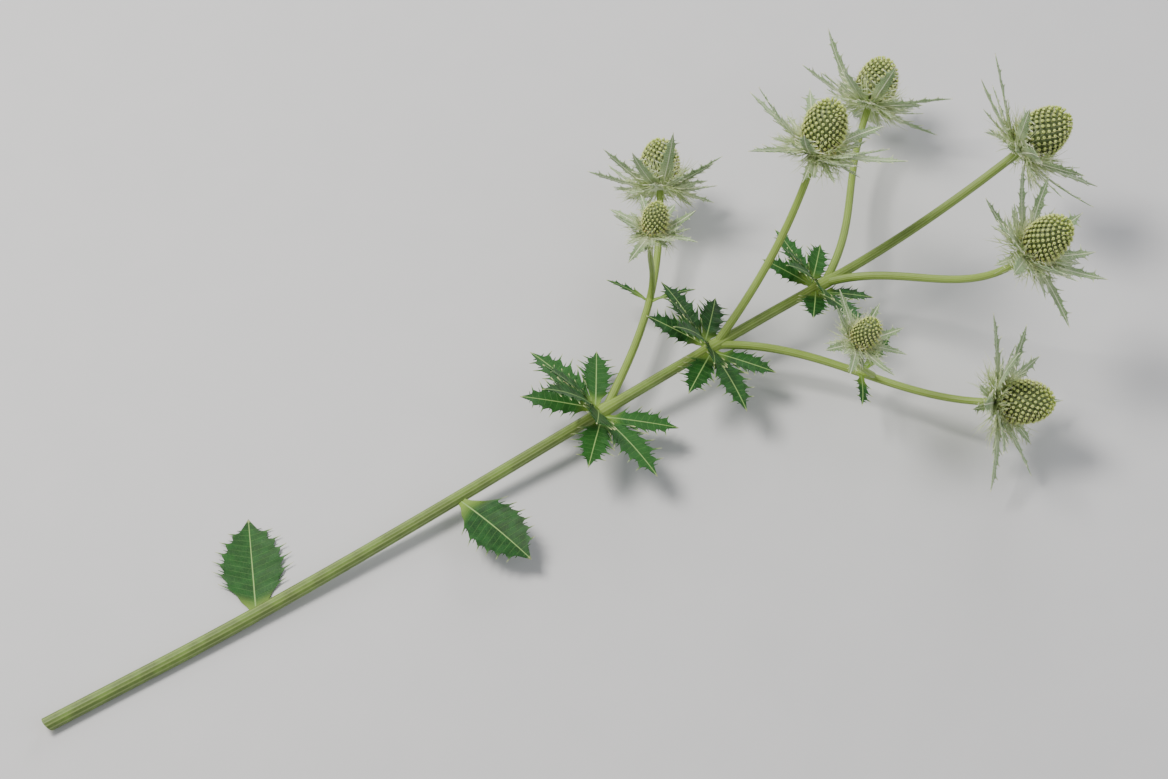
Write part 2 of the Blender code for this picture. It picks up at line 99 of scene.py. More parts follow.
# Blades: bracts and leaves
BRACT_LENGTH = 41 * MM
BRACT_HALF_WIDTH = 2.5 * MM
BRACT_SUNK = 2.6 * MM
NEEDLE_LENGTH = 17 * MM
EDGE_RAISED = 0.16
FIRST_VALLEY = 0.14
LAST_VALLEY = 0.88
VEIN_LEAN = 0.35
STEEPEST_BRACT_DEG = 78
BRACT_SEAT = 0.36
BRACT_WIDENED = 1.12
BRACT_TOOTH = 5.6 * MM
YOUNG_BRACT_TOOTH = 4.2 * MM
INNER_LENGTH = 25 * MM
INNER_HALF_WIDTH = 1.5 * MM
INNER_TOOTH = 3.9 * MM
INNER_SEAT = 0.55
BRACTLET_LENGTH = 14 * MM
BRACTLET_REACH_MM = (9, 21)
LEAF_THICKNESS = 0.42 * MM
LEAF_SPINES = 1.9
WELD = 0.01 * MM
# How far from a midrib a piece says it is when it has none, so that it takes no midrib's colour
NO_MIDRIB = 3.0

# Heads: name, node or head's branch that they grow from, foot (x, y, z from the cut end in mm), heading and
# pitch in degrees, size, number of bracts, and turn of the collar in degrees
HEADS = [
    ("2", "B", (428, 104, 34.0), 58, 24, 0.95, 10, 10),
    ("3", "C", (500, -108, 34.0), -48, 22, 1.0, 10, 4),
    ("4", "C", (478, 34, 106), 25, 62, 1.0, 10, 6),
    ("5", "D", (560, 92, 34.0), 36, 24, 1.0, 10, 18),
    ("6", "D", (538, -72, 94), -22, 52, 0.95, 10, 7),
    ("7", "2", (387, 50, 82), 30, 72, 0.62, 8, 0),
    ("8", "3", (438, -64, 80), -30, 66, 0.62, 8, 25),
]
# The head on the stem's own tip: name, size, number of bracts and turn
TOP_HEAD = ("1", 1.1, 10, 8)
YOUNG = ("7", "8")

# Leaves: name, kind, what they grow on, how far along it in mm, heading and pitch in degrees, share turned to
# the sky, length in mm and arch in degrees
LEAVES = [
    ("stem_leaf_1", "resting", "stem", 118, 66, 0, 1.0, 58, 0),
    ("stem_leaf_2", "broad", "stem", 238, -76, 10, 0.95, 52, -16),
    ("whorl_b_leaf_1", "lobed", "stem", 326, 100, 12, 0.8, 50, -20),
    ("whorl_b_leaf_2", "lobed", "stem", 326, -84, 16, 0.8, 50, -22),
    ("whorl_b_leaf_3", "lobed", "stem", 326, 160, 62, 0.2, 46, -30),
    ("whorl_c_leaf_1", "lobed", "stem", 395, 85, 20, 0.7, 44, -22),
    ("whorl_c_leaf_2", "lobed", "stem", 396, -96, 14, 0.8, 44, -22),
    ("whorl_c_leaf_3", "lobed", "stem", 396, 176, 70, 0.1, 40, -30),
    ("whorl_d_leaf_1", "lobed", "stem", 463, 84, 22, 0.7, 38, -20),
    ("whorl_d_leaf_2", "lobed", "stem", 463, -78, 22, 0.7, 38, -20),
    ("whorl_d_leaf_3", "lobed", "stem", 466, 170, 66, 0.1, 35, -26),
    ("fork_2_leaf_1", "small", "2", 0, 120, 20, 0.6, 24, -15),
    ("fork_2_leaf_2", "small", "2", 0, -20, 22, 0.6, 24, -15),
    ("fork_3_leaf_1", "small", "3", 0, 12, 24, 0.6, 24, -15),
    ("fork_3_leaf_2", "small", "3", 0, -120, 20, 0.6, 24, -15),
]

# Blade patterns: half widths at each valley, as parts of the fullest
BRACT_WIDTHS = (0.85, 1.0, 0.95, 0.72, 0.35)
YOUNG_BRACT_WIDTHS = (0.9, 1.0, 0.75, 0.35)
INNER_WIDTHS = (0.9, 1.0, 0.8, 0.35)
LOBED_WIDTHS = (0.5, 0.85, 1.0, 0.95, 0.7, 0.3)
BROAD_WIDTHS = (0.6, 0.92, 1.0, 0.96, 0.82, 0.6, 0.28)
SMALL_WIDTHS = (0.85, 1.0, 0.75, 0.35)

# Leaf kinds: each lobe's angle and share of the length, half width as a part of the length, widths, tooth as
# a part of the length, and half width of the foot in mm
THREE_LOBES = ((-46, 0.82), (0, 1.0), (46, 0.82))
ONE_LOBE = ((0, 1.0),)
LEAF_KINDS = {
    "lobed": (THREE_LOBES, 0.12, LOBED_WIDTHS, 0.085, 1.6),
    "small": (ONE_LOBE, 0.09, SMALL_WIDTHS, 0.1, 1.5),
    "broad": (ONE_LOBE, 0.25, BROAD_WIDTHS, 0.07, 1.9),
    "resting": (ONE_LOBE, 0.25, BROAD_WIDTHS, 0.07, 1.9),
}

# Where a blade has rows of points: near its foot, through each tooth, and up to its tip
FOOT_ROWS = (0.0, 0.05, 0.1)
TOOTH_ROWS = (0.0, 0.15, 0.3, 0.43, 0.5, 0.57, 0.7, 0.83, 0.88, 0.93)
TIP_ROWS = (0.88, 0.92, 0.96, 1.0)
# How far out a tooth stands at each of its rows: a broad foot drawn to a long spine, then a small spine
BRACT_TEETH = (0.0, 0.05, 0.14, 0.28, 1.0, 0.24, 0.1, 0.03, 0.36, 0.02)
LEAF_TEETH = (0.0, 0.12, 0.27, 0.36, 1.0, 0.27, 0.08, 0.02, 0.42, 0.0)
SPINE_LEAN = 0.22
# Where a row has its points, from edge to edge, and how far each one near the middle is raised into a midrib
COLUMNS = (-1.0, -0.84, -0.45, -0.13, 0.0, 0.13, 0.45, 0.84, 1.0)
MIDRIB_RAISED = {0.0: 1.0, 0.13: 0.55}

# A floret's rings, from its foot up over its rim and down into its middle: height and radius in mm
FLORET_RINGS = ((0, 0.5), (1.0, 0.66), (1.6, 0.86), (2.05, 0.8), (2.32, 0.5), (2.22, 0.34), (2.34, 0.16))
FLORET_RIM = 3
RIM_CORNER_IN = 0.93
RIM_CORNER_DOWN = 0.06 * MM
# Florets stand closer together and are smaller towards the tip, and lean up and are taller at the foot
FLORET_CROWDING = 1.12
FLORET_SMALLER = 0.14
FLORET_TALLER = 0.25
FLORET_LEAN = 0.35
FLORET_SUNK = 0.55 * MM
YOUNG_FLORET = 0.84
BRISTLE_RADIUS = 0.2 * MM
BRISTLE_TIP_RADIUS = 0.04 * MM
BRISTLE_LENGTH = 3.4 * MM
BRISTLE_SUNK = 1.3 * MM

# Patterns in the finishes: how many ribs go round the stem, and the real sizes of the others
STEM_RIBS = 12
STRONG_RIBS = 7
STEM_PATCH = 9 * MM
STEM_GRAIN = 0.8 * MM
PITH_TUBES = 0.35 * MM
BLADE_PATCH = 5 * MM
# The finest net of veins is about 0.4 mm wide on the plant, and is drawn coarser so that it shows
BRACT_NET = 0.9 * MM
LEAF_NET = 1.4 * MM
PAPER_CLOUDS = 30 * MM

# Blade finishes: fixed colours (varied tissue, veins and margin, foot, spines), how much is seen of net, side
# veins, foot and margin, how far the pale foot reaches in mm, and how deep the veins are in mm
BRACT_LOOK = (("#A5C08E", "#D3E0BC", "#D4DFB4", "#F0F0D0"), (0.4, 0.6, 0.85, 0.7), 26, 0.2)
BRACTLET_LOOK = (("#E2E9C2", "#D8E4BA", "#B4CB7E", "#F2F0D4"), (0.3, 0.4, 0.6, 0.4), 11, 0.1)
LEAF_LOOK = (("#2F6629", "#5E8A48", "#8BAA4A", "#CDD69C"), (0.1, 0.32, 0.85, 0.5), 11, 0.09)

# Stage: lamps (name, place, size in m, watts, tint) and the camera
LAMPS = (
    ("key", (-0.6, 0.7, 1.5), 0.6, 36, "#FFFBF2"),
    ("fill", (0.9, -1.1, 1.1), 1.4, 9, "#F8FAFF"),
    ("rim", (1.2, 1.0, 0.7), 0.7, 9, "#FFFFFF"),
)
LAMPS_AIM = Vector((0.08, 0, 0.03))
AIR_STRENGTH = 0.4
FLOOR_SIZE = 8
LENS = 85
CAMERA_AZIMUTH_DEG = -32
CAMERA_ELEVATION_DEG = 55
CAMERA_DISTANCE = 1.42
CAMERA_AIM = Vector((0.0, 0.0, 0.055))


def linear(hex_colour):
    """An sRGB hex colour as linear red, green, blue and alpha"""
    values = [int(hex_colour[i : i + 2], 16) / 255 for i in (1, 3, 5)]
    return (*(v / 12.92 if v <= 0.04045 else ((v + 0.055) / 1.055) ** 2.4 for v in values), 1.0)


def feed(tree, node, inputs):
    """Links each input that is given a socket, and sets each one that is given a value"""
    for name, value in inputs.items():
        if isinstance(value, bpy.types.NodeSocket):
            tree.links.new(value, node.inputs[name])
        else:
            node.inputs[name].default_value = value


def add_node(tree, kind, inputs=None, **settings):
    """Adds a shader node with its settings and links, and gives back its outputs"""
    made = tree.nodes.new("ShaderNode" + kind)
    for name, value in settings.items():
        setattr(made, name, value)
    feed(tree, made, inputs or {})
    return made.outputs


def dimmed(colour, share):
    """A colour at a share of its brightness"""
    return (*(value * share for value in colour[:3]), 1.0)


def new_material(name):
    """An empty Principled material, with its tree and shader"""
    made = bpy.data.materials.new(name)
    made.use_nodes = True
    return made, made.node_tree, made.node_tree.nodes["Principled BSDF"]


def lay_colours(tree, colour, *layers):
    """Lays colours over one another, each from none where a measure starts to its most where it is full"""
    for measure, start, full, most, over in layers:
        # A measure that already runs from 0 to 1 is taken as it is, and the others are eased
        kind = "LINEAR" if (start, full) == (0, 1) else "SMOOTHSTEP"
        ends = {0: measure, 1: start, 2: full, 4: most}
        share = add_node(tree, "MapRange", ends, interpolation_type=kind)[0]
        colour = add_node(tree, "Mix", {0: share, 6: colour, 7: over}, data_type="RGBA")[2]
    return colour


def stem_material(older, younger):
    """Fresh herbaceous stem: smooth and waxy, with fine pale ribs along it and patches of deeper green"""
    made, tree, shader = new_material("Fresh ribbed stem")
    spot = add_node(tree, "TexCoord")["Object"]
    known = add_node(tree, "Attribute", attribute_name="stem_place")["Vector"]
    round_x, round_y, youth = add_node(tree, "SeparateXYZ", {0: known})
    angle = add_node(tree, "Math", {0: round_y, 1: round_x}, operation="ARCTAN2")[0]
    # Ribs about every 2 mm round the stem, some stronger than others
    waves = []
    for count in (STEM_RIBS, STRONG_RIBS):
        turned = add_node(tree, "Math", {0: angle, 1: count}, operation="MULTIPLY")[0]
        waves.append(add_node(tree, "Math", {0: turned}, operation="SINE")[0])
    ribs = add_node(tree, "Math", {0: waves[1], 1: 0.5, 2: waves[0]}, operation="MULTIPLY_ADD")[0]
    patch = add_node(tree, "TexNoise", {"Vector": spot, "Scale": 1 / STEM_PATCH, "Detail": 2.0})["Fac"]
    grain = add_node(tree, "TexNoise", {"Vector": spot, "Scale": 1 / STEM_GRAIN, "Detail": 3.0})["Fac"]
    rib_colour = linear("#B4C67E")
    colour = lay_colours(
        tree,
        dimmed(older, 0.5),
        (patch, 0.35, 0.7, 1.0, older),
        (youth, 0, 1, 1.0, younger),
        (ribs, 0.1, 1.0, 0.32, rib_colour),
        (grain, 0, 1, 0.25, rib_colour),
    )
    relief = add_node(tree, "Math", {0: ribs, 1: 0.6, 2: grain}, operation="MULTIPLY_ADD")[0]
    bump = add_node(tree, "Bump", {"Height": relief, "Distance": 0.12 * MM, "Strength": 0.55})[0]
    feed(tree, shader, {"Base Color": colour, "Normal": bump, "Roughness": 0.48, "Subsurface Weight": 0.08})
    feed(tree, shader, {"Subsurface Radius": (0.9, 1.0, 0.4), "Subsurface Scale": 1.0 * MM})
    return made


def pith_material():
    """Cut pith: pale, damp and spongy, with tubes about 0.35 mm apart"""
    made, tree, shader = new_material("Cut pith")
    spot = add_node(tree, "TexCoord")["Object"]
    tubes = add_node(tree, "TexNoise", {"Vector": spot, "Scale": 1 / PITH_TUBES, "Detail": 1.0})["Fac"]
    tone = lay_colours(tree, linear("#D9D8B4"), (tubes, 0, 1, 1.0, linear("#A9AE7C")))
    bump = add_node(tree, "Bump", {"Height": tubes, "Distance": 0.1 * MM})[0]
    feed(tree, shader, {"Base Color": tone, "Normal": bump, "Roughness": 0.8})
    return made


def blade_material(title, look, tissue, dark, midrib, vein_mm, net):
    """A living blade: midrib, side veins, margin and spines paler than its tissue, and a net of fine veins"""
    colours, (net_seen, veins_seen, foot_seen, margin_seen), foot_mm, relief_mm = look
    varied, pale, foot, spiny = map(linear, colours)
    made, tree, shader = new_material(title)
    spot = add_node(tree, "TexCoord")["Object"]
    known = add_node(tree, "Attribute", attribute_name="blade_place")["Vector"]
    side, along, spine = add_node(tree, "SeparateXYZ", {0: known})
    shade = add_node(tree, "Attribute", attribute_name="shade")["Fac"]
    from_rib = add_node(tree, "Attribute", attribute_name="from_rib")["Fac"]
    across = add_node(tree, "Math", {0: side}, operation="ABSOLUTE")[0]
    # Side veins leave the midrib forwards, every vein_mm
    wave = add_node(tree, "Math", {0: along, 1: math.pi / vein_mm}, operation="MULTIPLY")[0]
    for operation in ("SINE", "ABSOLUTE"):
        wave = add_node(tree, "Math", {0: wave}, operation=operation)[0]
    cells = add_node(tree, "TexVoronoi", {"Vector": spot, "Scale": 1 / net}, feature="DISTANCE_TO_EDGE")
    patch = add_node(tree, "TexNoise", {"Vector": spot, "Scale": 1 / BLADE_PATCH, "Detail": 2.0})["Fac"]
    veins, reach, net_lines = (
        add_node(tree, "MapRange", {0: value, 1: low, 2: high}, interpolation_type="SMOOTHSTEP")[0]
        for value, low, high in ((wave, 0.32, 0.05), (across, 1.15, 0.6), (cells["Distance"], 0.12, 0.02))
    )
    veins = add_node(tree, "Math", {0: veins, 1: reach}, operation="MULTIPLY")[0]
    colour = lay_colours(
        tree,
        dimmed(tissue, dark),
        (patch, 0.3, 0.7, 1.0, tissue),
        (shade, 0, 1, 1.0, varied),
        (net_lines, 0, 1, net_seen, pale),
        (veins, 0, 1, veins_seen, pale),
        (along, foot_mm, 1, foot_seen, foot),
        (from_rib, 0.46, 0.2, 1.0, midrib),
        (across, 1.02, 1.6, margin_seen, pale),
        (spine, 0.5, 1.0, 1.0, spiny),
    )
    # The veins are sunk, the net half as deep
    sunk = add_node(tree, "Math", {0: net_lines, 1: -0.5}, operation="MULTIPLY")[0]
    relief = add_node(tree, "Math", {0: veins, 1: -1.0, 2: sunk}, operation="MULTIPLY_ADD")[0]
    bump = add_node(tree, "Bump", {"Height": relief, "Distance": relief_mm * MM, "Strength": 0.8})[0]
    feed(tree, shader, {"Base Color": colour, "Normal": bump, "Roughness": 0.5, "Specular IOR Level": 0.25})
    feed(tree, shader, {"Subsurface Weight": 0.06, "Subsurface Scale": 0.8 * MM})
    feed(tree, shader, {"Subsurface Radius": (0.6, 1.0, 0.3)})
    return made


def floret_material(gap, sepal):
    """Closed florets: pale sepal tips 1.7 mm across round a green bud, over a deep green throat. The throat's
    colour is partly the tissue's deep green and partly painted shade between the florets
    """
    made, tree, shader = new_material("Closed floret")
    known = add_node(tree, "Attribute", attribute_name="floret_place")["Vector"]
    middle, up_wall, up_cone = add_node(tree, "SeparateXYZ", {0: known})
    shade = add_node(tree, "Attribute", attribute_name="shade")["Fac"]
    # Yellower towards the cone's tip, straw coloured at its foot
    colour = lay_colours(
        tree,
        gap,
        # Below about 0.6 of its wall a floret keeps the gap colour: painted shade down between the florets
        (up_wall, 0.6, 0.9, 1.0, sepal),
        (up_cone, 0.72, 1.0, 0.55, linear("#CBE060")),
        (up_cone, 0.3, 0.0, 0.65, linear("#BFA969")),
        (middle, 0.42, 0.25, 1.0, linear("#8FA84C")),
        (shade, 0, 1, 0.3, linear("#E4ECA8")),
    )
    feed(tree, shader, {"Base Color": colour, "Roughness": 0.55, "Subsurface Weight": 0.08})
    feed(tree, shader, {"Subsurface Radius": (0.6, 1.0, 0.3), "Subsurface Scale": 0.6 * MM})
    return made


def spine_material():
    """Dry spine tissue: hard and straw pale, some spines greener than others"""
    made, tree, shader = new_material("Dry spine")
    shade = add_node(tree, "Attribute", attribute_name="shade")["Fac"]
    straw = lay_colours(tree, linear("#E4E2B4"), (shade, 0, 1, 1.0, linear("#CFCF96")))
    feed(tree, shader, {"Base Color": straw, "Roughness": 0.5})
    return made


def paper_material():
    """Matt paper: pale, even and without gloss, with very faint clouds"""
    made, tree, shader = new_material("Matt paper")
    spot = add_node(tree, "TexCoord")["Object"]
    clouds = add_node(tree, "TexNoise", {"Vector": spot, "Scale": 1 / PAPER_CLOUDS, "Detail": 2.0})["Fac"]
    tone = lay_colours(tree, linear("#CFD0D4"), (clouds, 0, 1, 1.0, linear("#D4D4D8")))
    feed(tree, shader, {"Base Color": tone, "Roughness": 0.9})
    return made


def deselect_all():
    for obj in bpy.context.selected_objects:
        obj.select_set(False)


def only(obj):
    """Selects this object alone, and makes it the active one"""
    deselect_all()
    obj.select_set(True)
    bpy.context.view_layer.objects.active = obj


def points_of(mesh):
    flat = np.empty(len(mesh.vertices) * 3, np.float32)
    mesh.vertices.foreach_get("co", flat)
    return flat.reshape(-1, 3).astype(np.float64)


def vectors_of(mesh, name):
    flat = np.empty(len(mesh.vertices) * 3, np.float32)
    mesh.attributes[name].data.foreach_get("vector", flat)
    return flat.reshape(-1, 3)


def set_points(mesh, points):
    mesh.vertices.foreach_set("co", np.ascontiguousarray(points, np.float32).ravel())
    mesh.update()


def set_vectors(mesh, name, values):
    attribute = mesh.attributes.get(name) or mesh.attributes.new(name, "FLOAT_VECTOR", "POINT")
    attribute.data.foreach_set("vector", np.ascontiguousarray(values, np.float32).ravel())


def set_floats(mesh, name, values):
    attribute = mesh.attributes.get(name) or mesh.attributes.new(name, "FLOAT", "POINT")
    spread = np.broadcast_to(values, len(mesh.vertices))
    attribute.data.foreach_set("value", np.ascontiguousarray(spread, np.float32))


def set_shade(mesh, value):
    """How far this copy's colour varies, from 0 to 1, the same all over it"""
    set_floats(mesh, "shade", value)


def copy_of(pattern):
    """A copy of a finished pattern, with its own mesh"""
    made = pattern.copy()
    made.data = pattern.data.copy()
    bpy.context.collection.objects.link(made)
    return made


def apply_modifier(obj, kind, **settings):
    only(obj)
    modifier = obj.modifiers.new(kind.title(), kind)
    for name, value in settings.items():
        setattr(modifier, name, value)
    bpy.ops.object.modifier_apply(modifier=modifier.name)


def grid_of(name, rows, columns):
    """A flat grid of points, and the row and column of each one"""
    bpy.ops.mesh.primitive_grid_add(x_subdivisions=rows - 1, y_subdivisions=columns - 1, size=2)
    made = bpy.context.object
    made.name = name
    x, y, _ = points_of(made.data).T
    counted = (np.rint((x + 1) / 2 * (rows - 1)), np.rint((y + 1) / 2 * (columns - 1)))
    return made, np.stack(counted, 1).astype(int).tolist()


def start_ring(name, sides, radius, **placed):
    """A flat closed ring, open for editing"""
    bpy.ops.mesh.primitive_circle_add(vertices=sides, radius=radius, fill_type="NGON", **placed)
    made = bpy.context.object
    made.name = name
    only(made)
    bpy.ops.object.transform_apply(location=True, rotation=True, scale=True)
    bpy.ops.object.mode_set(mode="EDIT")
    return made


def draw_out(shift, spread):
    """Extrudes what is selected, and widens or narrows its end"""
    bpy.ops.mesh.extrude_region_move(TRANSFORM_OT_translate={"value": shift})
    bpy.ops.transform.resize(value=spread)


def end_edit():
    """Turns every face outwards and ends the edit"""
    bpy.ops.mesh.select_all(action="SELECT")
    bpy.ops.mesh.normals_make_consistent(inside=False)
    bpy.ops.object.mode_set(mode="OBJECT")


def join(pieces, name):
    """Joins pieces into one object with this name"""
    deselect_all()
    for piece in pieces:
        piece.select_set(True)
    bpy.context.view_layer.objects.active = pieces[0]
    if len(pieces) > 1:
        bpy.ops.object.join()
    joined = bpy.context.view_layer.objects.active
    joined.name = name
    joined.data.name = name
    return joined


def finish_piece(obj, material, slot, *nodes, smooth_deg=60):
    """Gives a finished piece its material, and says what it rides on and stands for"""
    only(obj)
    if not obj.data.materials:
        obj.data.materials.append(material)
    bpy.ops.object.shade_smooth_by_angle(angle=math.radians(smooth_deg))
    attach(obj, BODY)
    if nodes:
        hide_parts(*nodes)
    return obj


def direction(heading, pitch):
    """The unit vector at a compass heading from +X and a pitch above the surface, in degrees"""
    h, p = math.radians(heading), math.radians(pitch)
    return Vector((math.cos(h) * math.cos(p), math.sin(h) * math.cos(p), math.sin(p)))


def frame_along(axis, face):
    """A rotation whose X is the axis and whose Z is as near to face as it can be"""
    x = axis.normalized()
    y = face.cross(x).normalized()
    return Matrix((x, y, x.cross(y))).transposed()


def stem_point(s):
    """The middle of the main stem at a distance s along X from the cut end"""
    along = max(0.0, s - STEM_FLAT) / (STEM_LENGTH - STEM_FLAT)
    tip = max(0.0, s - NODES["D"]) / (STEM_LENGTH - NODES["D"])
    y = STEM_SWAY * math.sin(math.pi * along) * along
    return Vector((s, y, STEM_LOWEST + STEM_RISE * along**1.5 + TIP_LIFT * tip**2))


def stem_direction(s):
    """The way that the main stem runs there"""
    step = 0.5 * MM
    return (stem_point(s + step) - stem_point(s - step)).normalized()


def stem_radius(s):
    """The main stem's radius there, thinner towards the tip and swollen at its nodes"""
    thinned = STEM_RADIUS + (TIP_RADIUS - STEM_RADIUS) * (max(0.0, s - STEM_FLAT) / STEM_LENGTH)
    swell = sum(math.exp(-(((s - node) / NODE_SPREAD) ** 2)) for node in NODES.values())
    return thinned + NODE_SWELLING * swell


def stem_youth(share):
    """How young and yellow the stem is: more towards its tip, and at its nodes"""
    s = STEM_LENGTH * share
    at_node = sum(math.exp(-(((s - node) / (2 * NODE_SPREAD)) ** 2)) for node in NODES.values())
    return min(1.0, 0.55 * share**2 + 0.6 * at_node)


def bezier(p0, p1, p2, p3, t):
    u = 1 - t
    return u**3 * p0 + 3 * u * u * t * p1 + 3 * u * t * t * p2 + t**3 * p3


def branch_curve(start, along, foot, axis):
    """A branch leaves its parent at a set angle and ends in line with its head"""
    reach = (foot - start).length * BRANCH_PULL
    sideways = foot - start
    sideways = (sideways - sideways.dot(along) * along).normalized()
    fork = math.radians(BRANCH_FORK_DEG)
    leaving = math.cos(fork) * along + math.sin(fork) * sideways
    return start, start + leaving * reach, foot - axis * reach, foot


def fork_of(curve):
    """Where a branch forks, and the way that it runs there"""
    near, far = bezier(*curve, FORK_SHARE - 0.01), bezier(*curve, FORK_SHARE + 0.01)
    return bezier(*curve, FORK_SHARE), (far - near).normalized()


def plan_branches():
    """The curve of each side branch, by the name of its head"""
    curves = {}
    for name, grows_from, foot, heading, pitch, *_ in HEADS:
        if grows_from in NODES:
            start, along = stem_point(NODES[grows_from]), stem_direction(NODES[grows_from])
        else:
            start, along = fork_of(curves[grows_from])
        curves[name] = branch_curve(start, along, Vector(foot) * MM, direction(heading, pitch))
    return curves


def plan_heads():
    """Each head's place, size, number of bracts and turn, by name"""
    name, size, count, turn = TOP_HEAD
    plan = {name: (stem_point(STEM_LENGTH), stem_direction(STEM_LENGTH - 0.5 * MM), size, count, turn)}
    for name, _, foot, heading, pitch, size, count, turn in HEADS:
        plan[name] = (Vector(foot) * MM, direction(heading, pitch), size, count, turn)
    placed = {}
    for name, (foot, axis, size, count, turn) in plan.items():
        turned = frame_along(axis, Vector((0, 0, 1))) @ Matrix.Rotation(math.radians(90), 3, "Y")
        placed[name] = (Matrix.Translation(CUT_END + foot) @ turned.to_4x4(), size, count, turn)
    return placed


def round_stem(name, path, radius_at, sides, youth, slant=0.0):
    """A closed round stem, wrapped from a flat grid. Its points know their place round and along the stem"""
    rings = len(path)
    stem, spots = grid_of(name, rings, sides + 1)
    placed, known = np.empty((len(spots), 3)), np.empty((len(spots), 3))
    across = Vector((0, 1, 0))
    frames = []
    for i, point in enumerate(path):
        ahead = (path[min(i + 1, rings - 1)] - path[max(i - 1, 0)]).normalized()
        across = (across - across.dot(ahead) * ahead).normalized()
        frames.append((point, ahead, across.copy(), ahead.cross(across)))
    for v, (i, side) in enumerate(spots):
        point, ahead, y, z = frames[i]
        angle = 2 * math.pi * (side % sides) / sides
        offset = radius_at(i / (rings - 1)) * (math.cos(angle) * y + math.sin(angle) * z)
        if i == 0:
            offset -= slant * offset.z * ahead
        placed[v] = point + offset
        known[v] = (math.cos(angle), math.sin(angle), youth(i / (rings - 1)))
    # Nothing of the stem is below the surface that it lies on
    placed[:, 2] = placed[:, 2].clip(min=0)
    set_points(stem.data, placed)
    set_vectors(stem.data, "stem_place", known)
    only(stem)
    bpy.ops.object.mode_set(mode="EDIT")
    bpy.ops.mesh.select_all(action="SELECT")
    bpy.ops.mesh.remove_doubles(threshold=WELD / 2)
    bpy.ops.mesh.select_all(action="DESELECT")
    bpy.ops.mesh.select_non_manifold()
    bpy.ops.mesh.edge_face_add()
    end_edit()
    return stem


def half_width_at(share, widths, foot):
    """A blade's half width at a share of its length, as a part of its fullest, smooth between valleys"""
    step = (LAST_VALLEY - FIRST_VALLEY) / (len(widths) - 1)
    places = [0.0] + [FIRST_VALLEY + i * step for i in range(len(widths))] + [1.0]
    sizes = [foot, *widths, 0.0]
    for (a, b), (low, high) in zip(zip(places, places[1:]), zip(sizes, sizes[1:])):
        if share <= b:
            part = (share - a) / (b - a)
            if b < 1.0:
                part = part * part * (3 - 2 * part)
            return low + (high - low) * part
    return 0.0


def blade_rows(teeth):
    """Each row's share of the blade's length, with its place in its tooth, or None outside the teeth"""
    step = (LAST_VALLEY - FIRST_VALLEY) / teeth
    rows = [(share, None) for share in FOOT_ROWS]
    for tooth in range(teeth):
        rows += [(FIRST_VALLEY + (tooth + phase) * step, phase) for phase in TOOTH_ROWS]
    return rows + [(share, None) for share in TIP_ROWS]


def sheet(name, length, half_width, widths, tooth, shape, foot, rib, wave, seed):
    """A flat toothed blade along X, from a grid. Its rows run forwards from the midrib, as its veins do"""
    draw = random.Random(seed)
    teeth = len(widths) - 1
    rows = blade_rows(teeth)
    blade, spots = grid_of(name, len(rows), len(COLUMNS))
    lengths = {side: [tooth * draw.uniform(0.85, 1.15) for _ in range(teeth)] for side in (-1, 1)}
    placed, known, from_rib = np.empty((len(spots), 3)), np.empty((len(spots), 3)), np.empty(len(spots))
    for v, (i, j) in enumerate(spots):
        share, phase = rows[i]
        c = COLUMNS[j]
        side = -1 if c < 0 else 1
        body = half_width * half_width_at(share, widths, foot / half_width)
        y, spine, out = c * body, 0.0, 0.0
        toothed = (share - FIRST_VALLEY) / (LAST_VALLEY - FIRST_VALLEY)
        number = min(teeth - 1, max(0, int(toothed * teeth + 1e-6)))
        if abs(c) == 1.0 and phase is not None:
            spine = shape[TOOTH_ROWS.index(phase)]
            out = spine * lengths[side][number] * (1 - 0.4 * share)
            y += side * out
        lean = (VEIN_LEAN * abs(y) + SPINE_LEAN * out) * (1 - share**3) if share > 0 else 0.0
        raised = rib * (1 - 0.75 * share) * MIDRIB_RAISED.get(abs(c), 0.0)
        ripple = wave * math.sin(2 * math.pi * share * teeth + side) * abs(c) ** 2 * (1 - share)
        placed[v] = (share * length + lean, y, EDGE_RAISED * abs(y) + raised + ripple)
        sideways = c if abs(c) < 1 else side * (1 + spine)
        known[v] = (sideways, share * length / MM, max(spine, (share - 0.9) * 10))
        from_rib[v] = abs(y) / MM / (1.15 - 0.6 * share)
    set_points(blade.data, placed)
    set_vectors(blade.data, "blade_place", known)
    set_floats(blade.data, "from_rib", from_rib)
    return blade


def thicken(blade, thickness):
    """Gives a sheet its thickness, on its underside, and welds its tip"""
    apply_modifier(blade, "SOLIDIFY", thickness=thickness, offset=-1.0, use_even_offset=False)
    only(blade)
    bpy.ops.object.mode_set(mode="EDIT")
    bpy.ops.mesh.select_all(action="SELECT")
    bpy.ops.mesh.remove_doubles(threshold=WELD)
    bpy.ops.object.mode_set(mode="OBJECT")
    return blade


def drawn_spine(length, thick, thin, sides, steps, sink=0.0, from_rib=0.0):
    """A thin round piece along X, drawn out from a ring to its fine end"""
    spine = start_ring("spine", sides, thick, location=(0, 0, -sink), rotation=(0, math.pi / 2, 0))
    shrink = (thin / thick) ** (1 / steps)
    for _ in range(steps):
        draw_out((length / steps, 0, 0), (1, shrink, shrink))
    end_edit()
    along = points_of(spine.data)[:, 0] / length
    known = np.stack((np.full_like(along, 0.5), along * length / MM, np.clip((along - 0.8) * 5, 0, 1)), 1)
    set_vectors(spine.data, "blade_place", known)
    set_floats(spine.data, "from_rib", from_rib)
    return spine


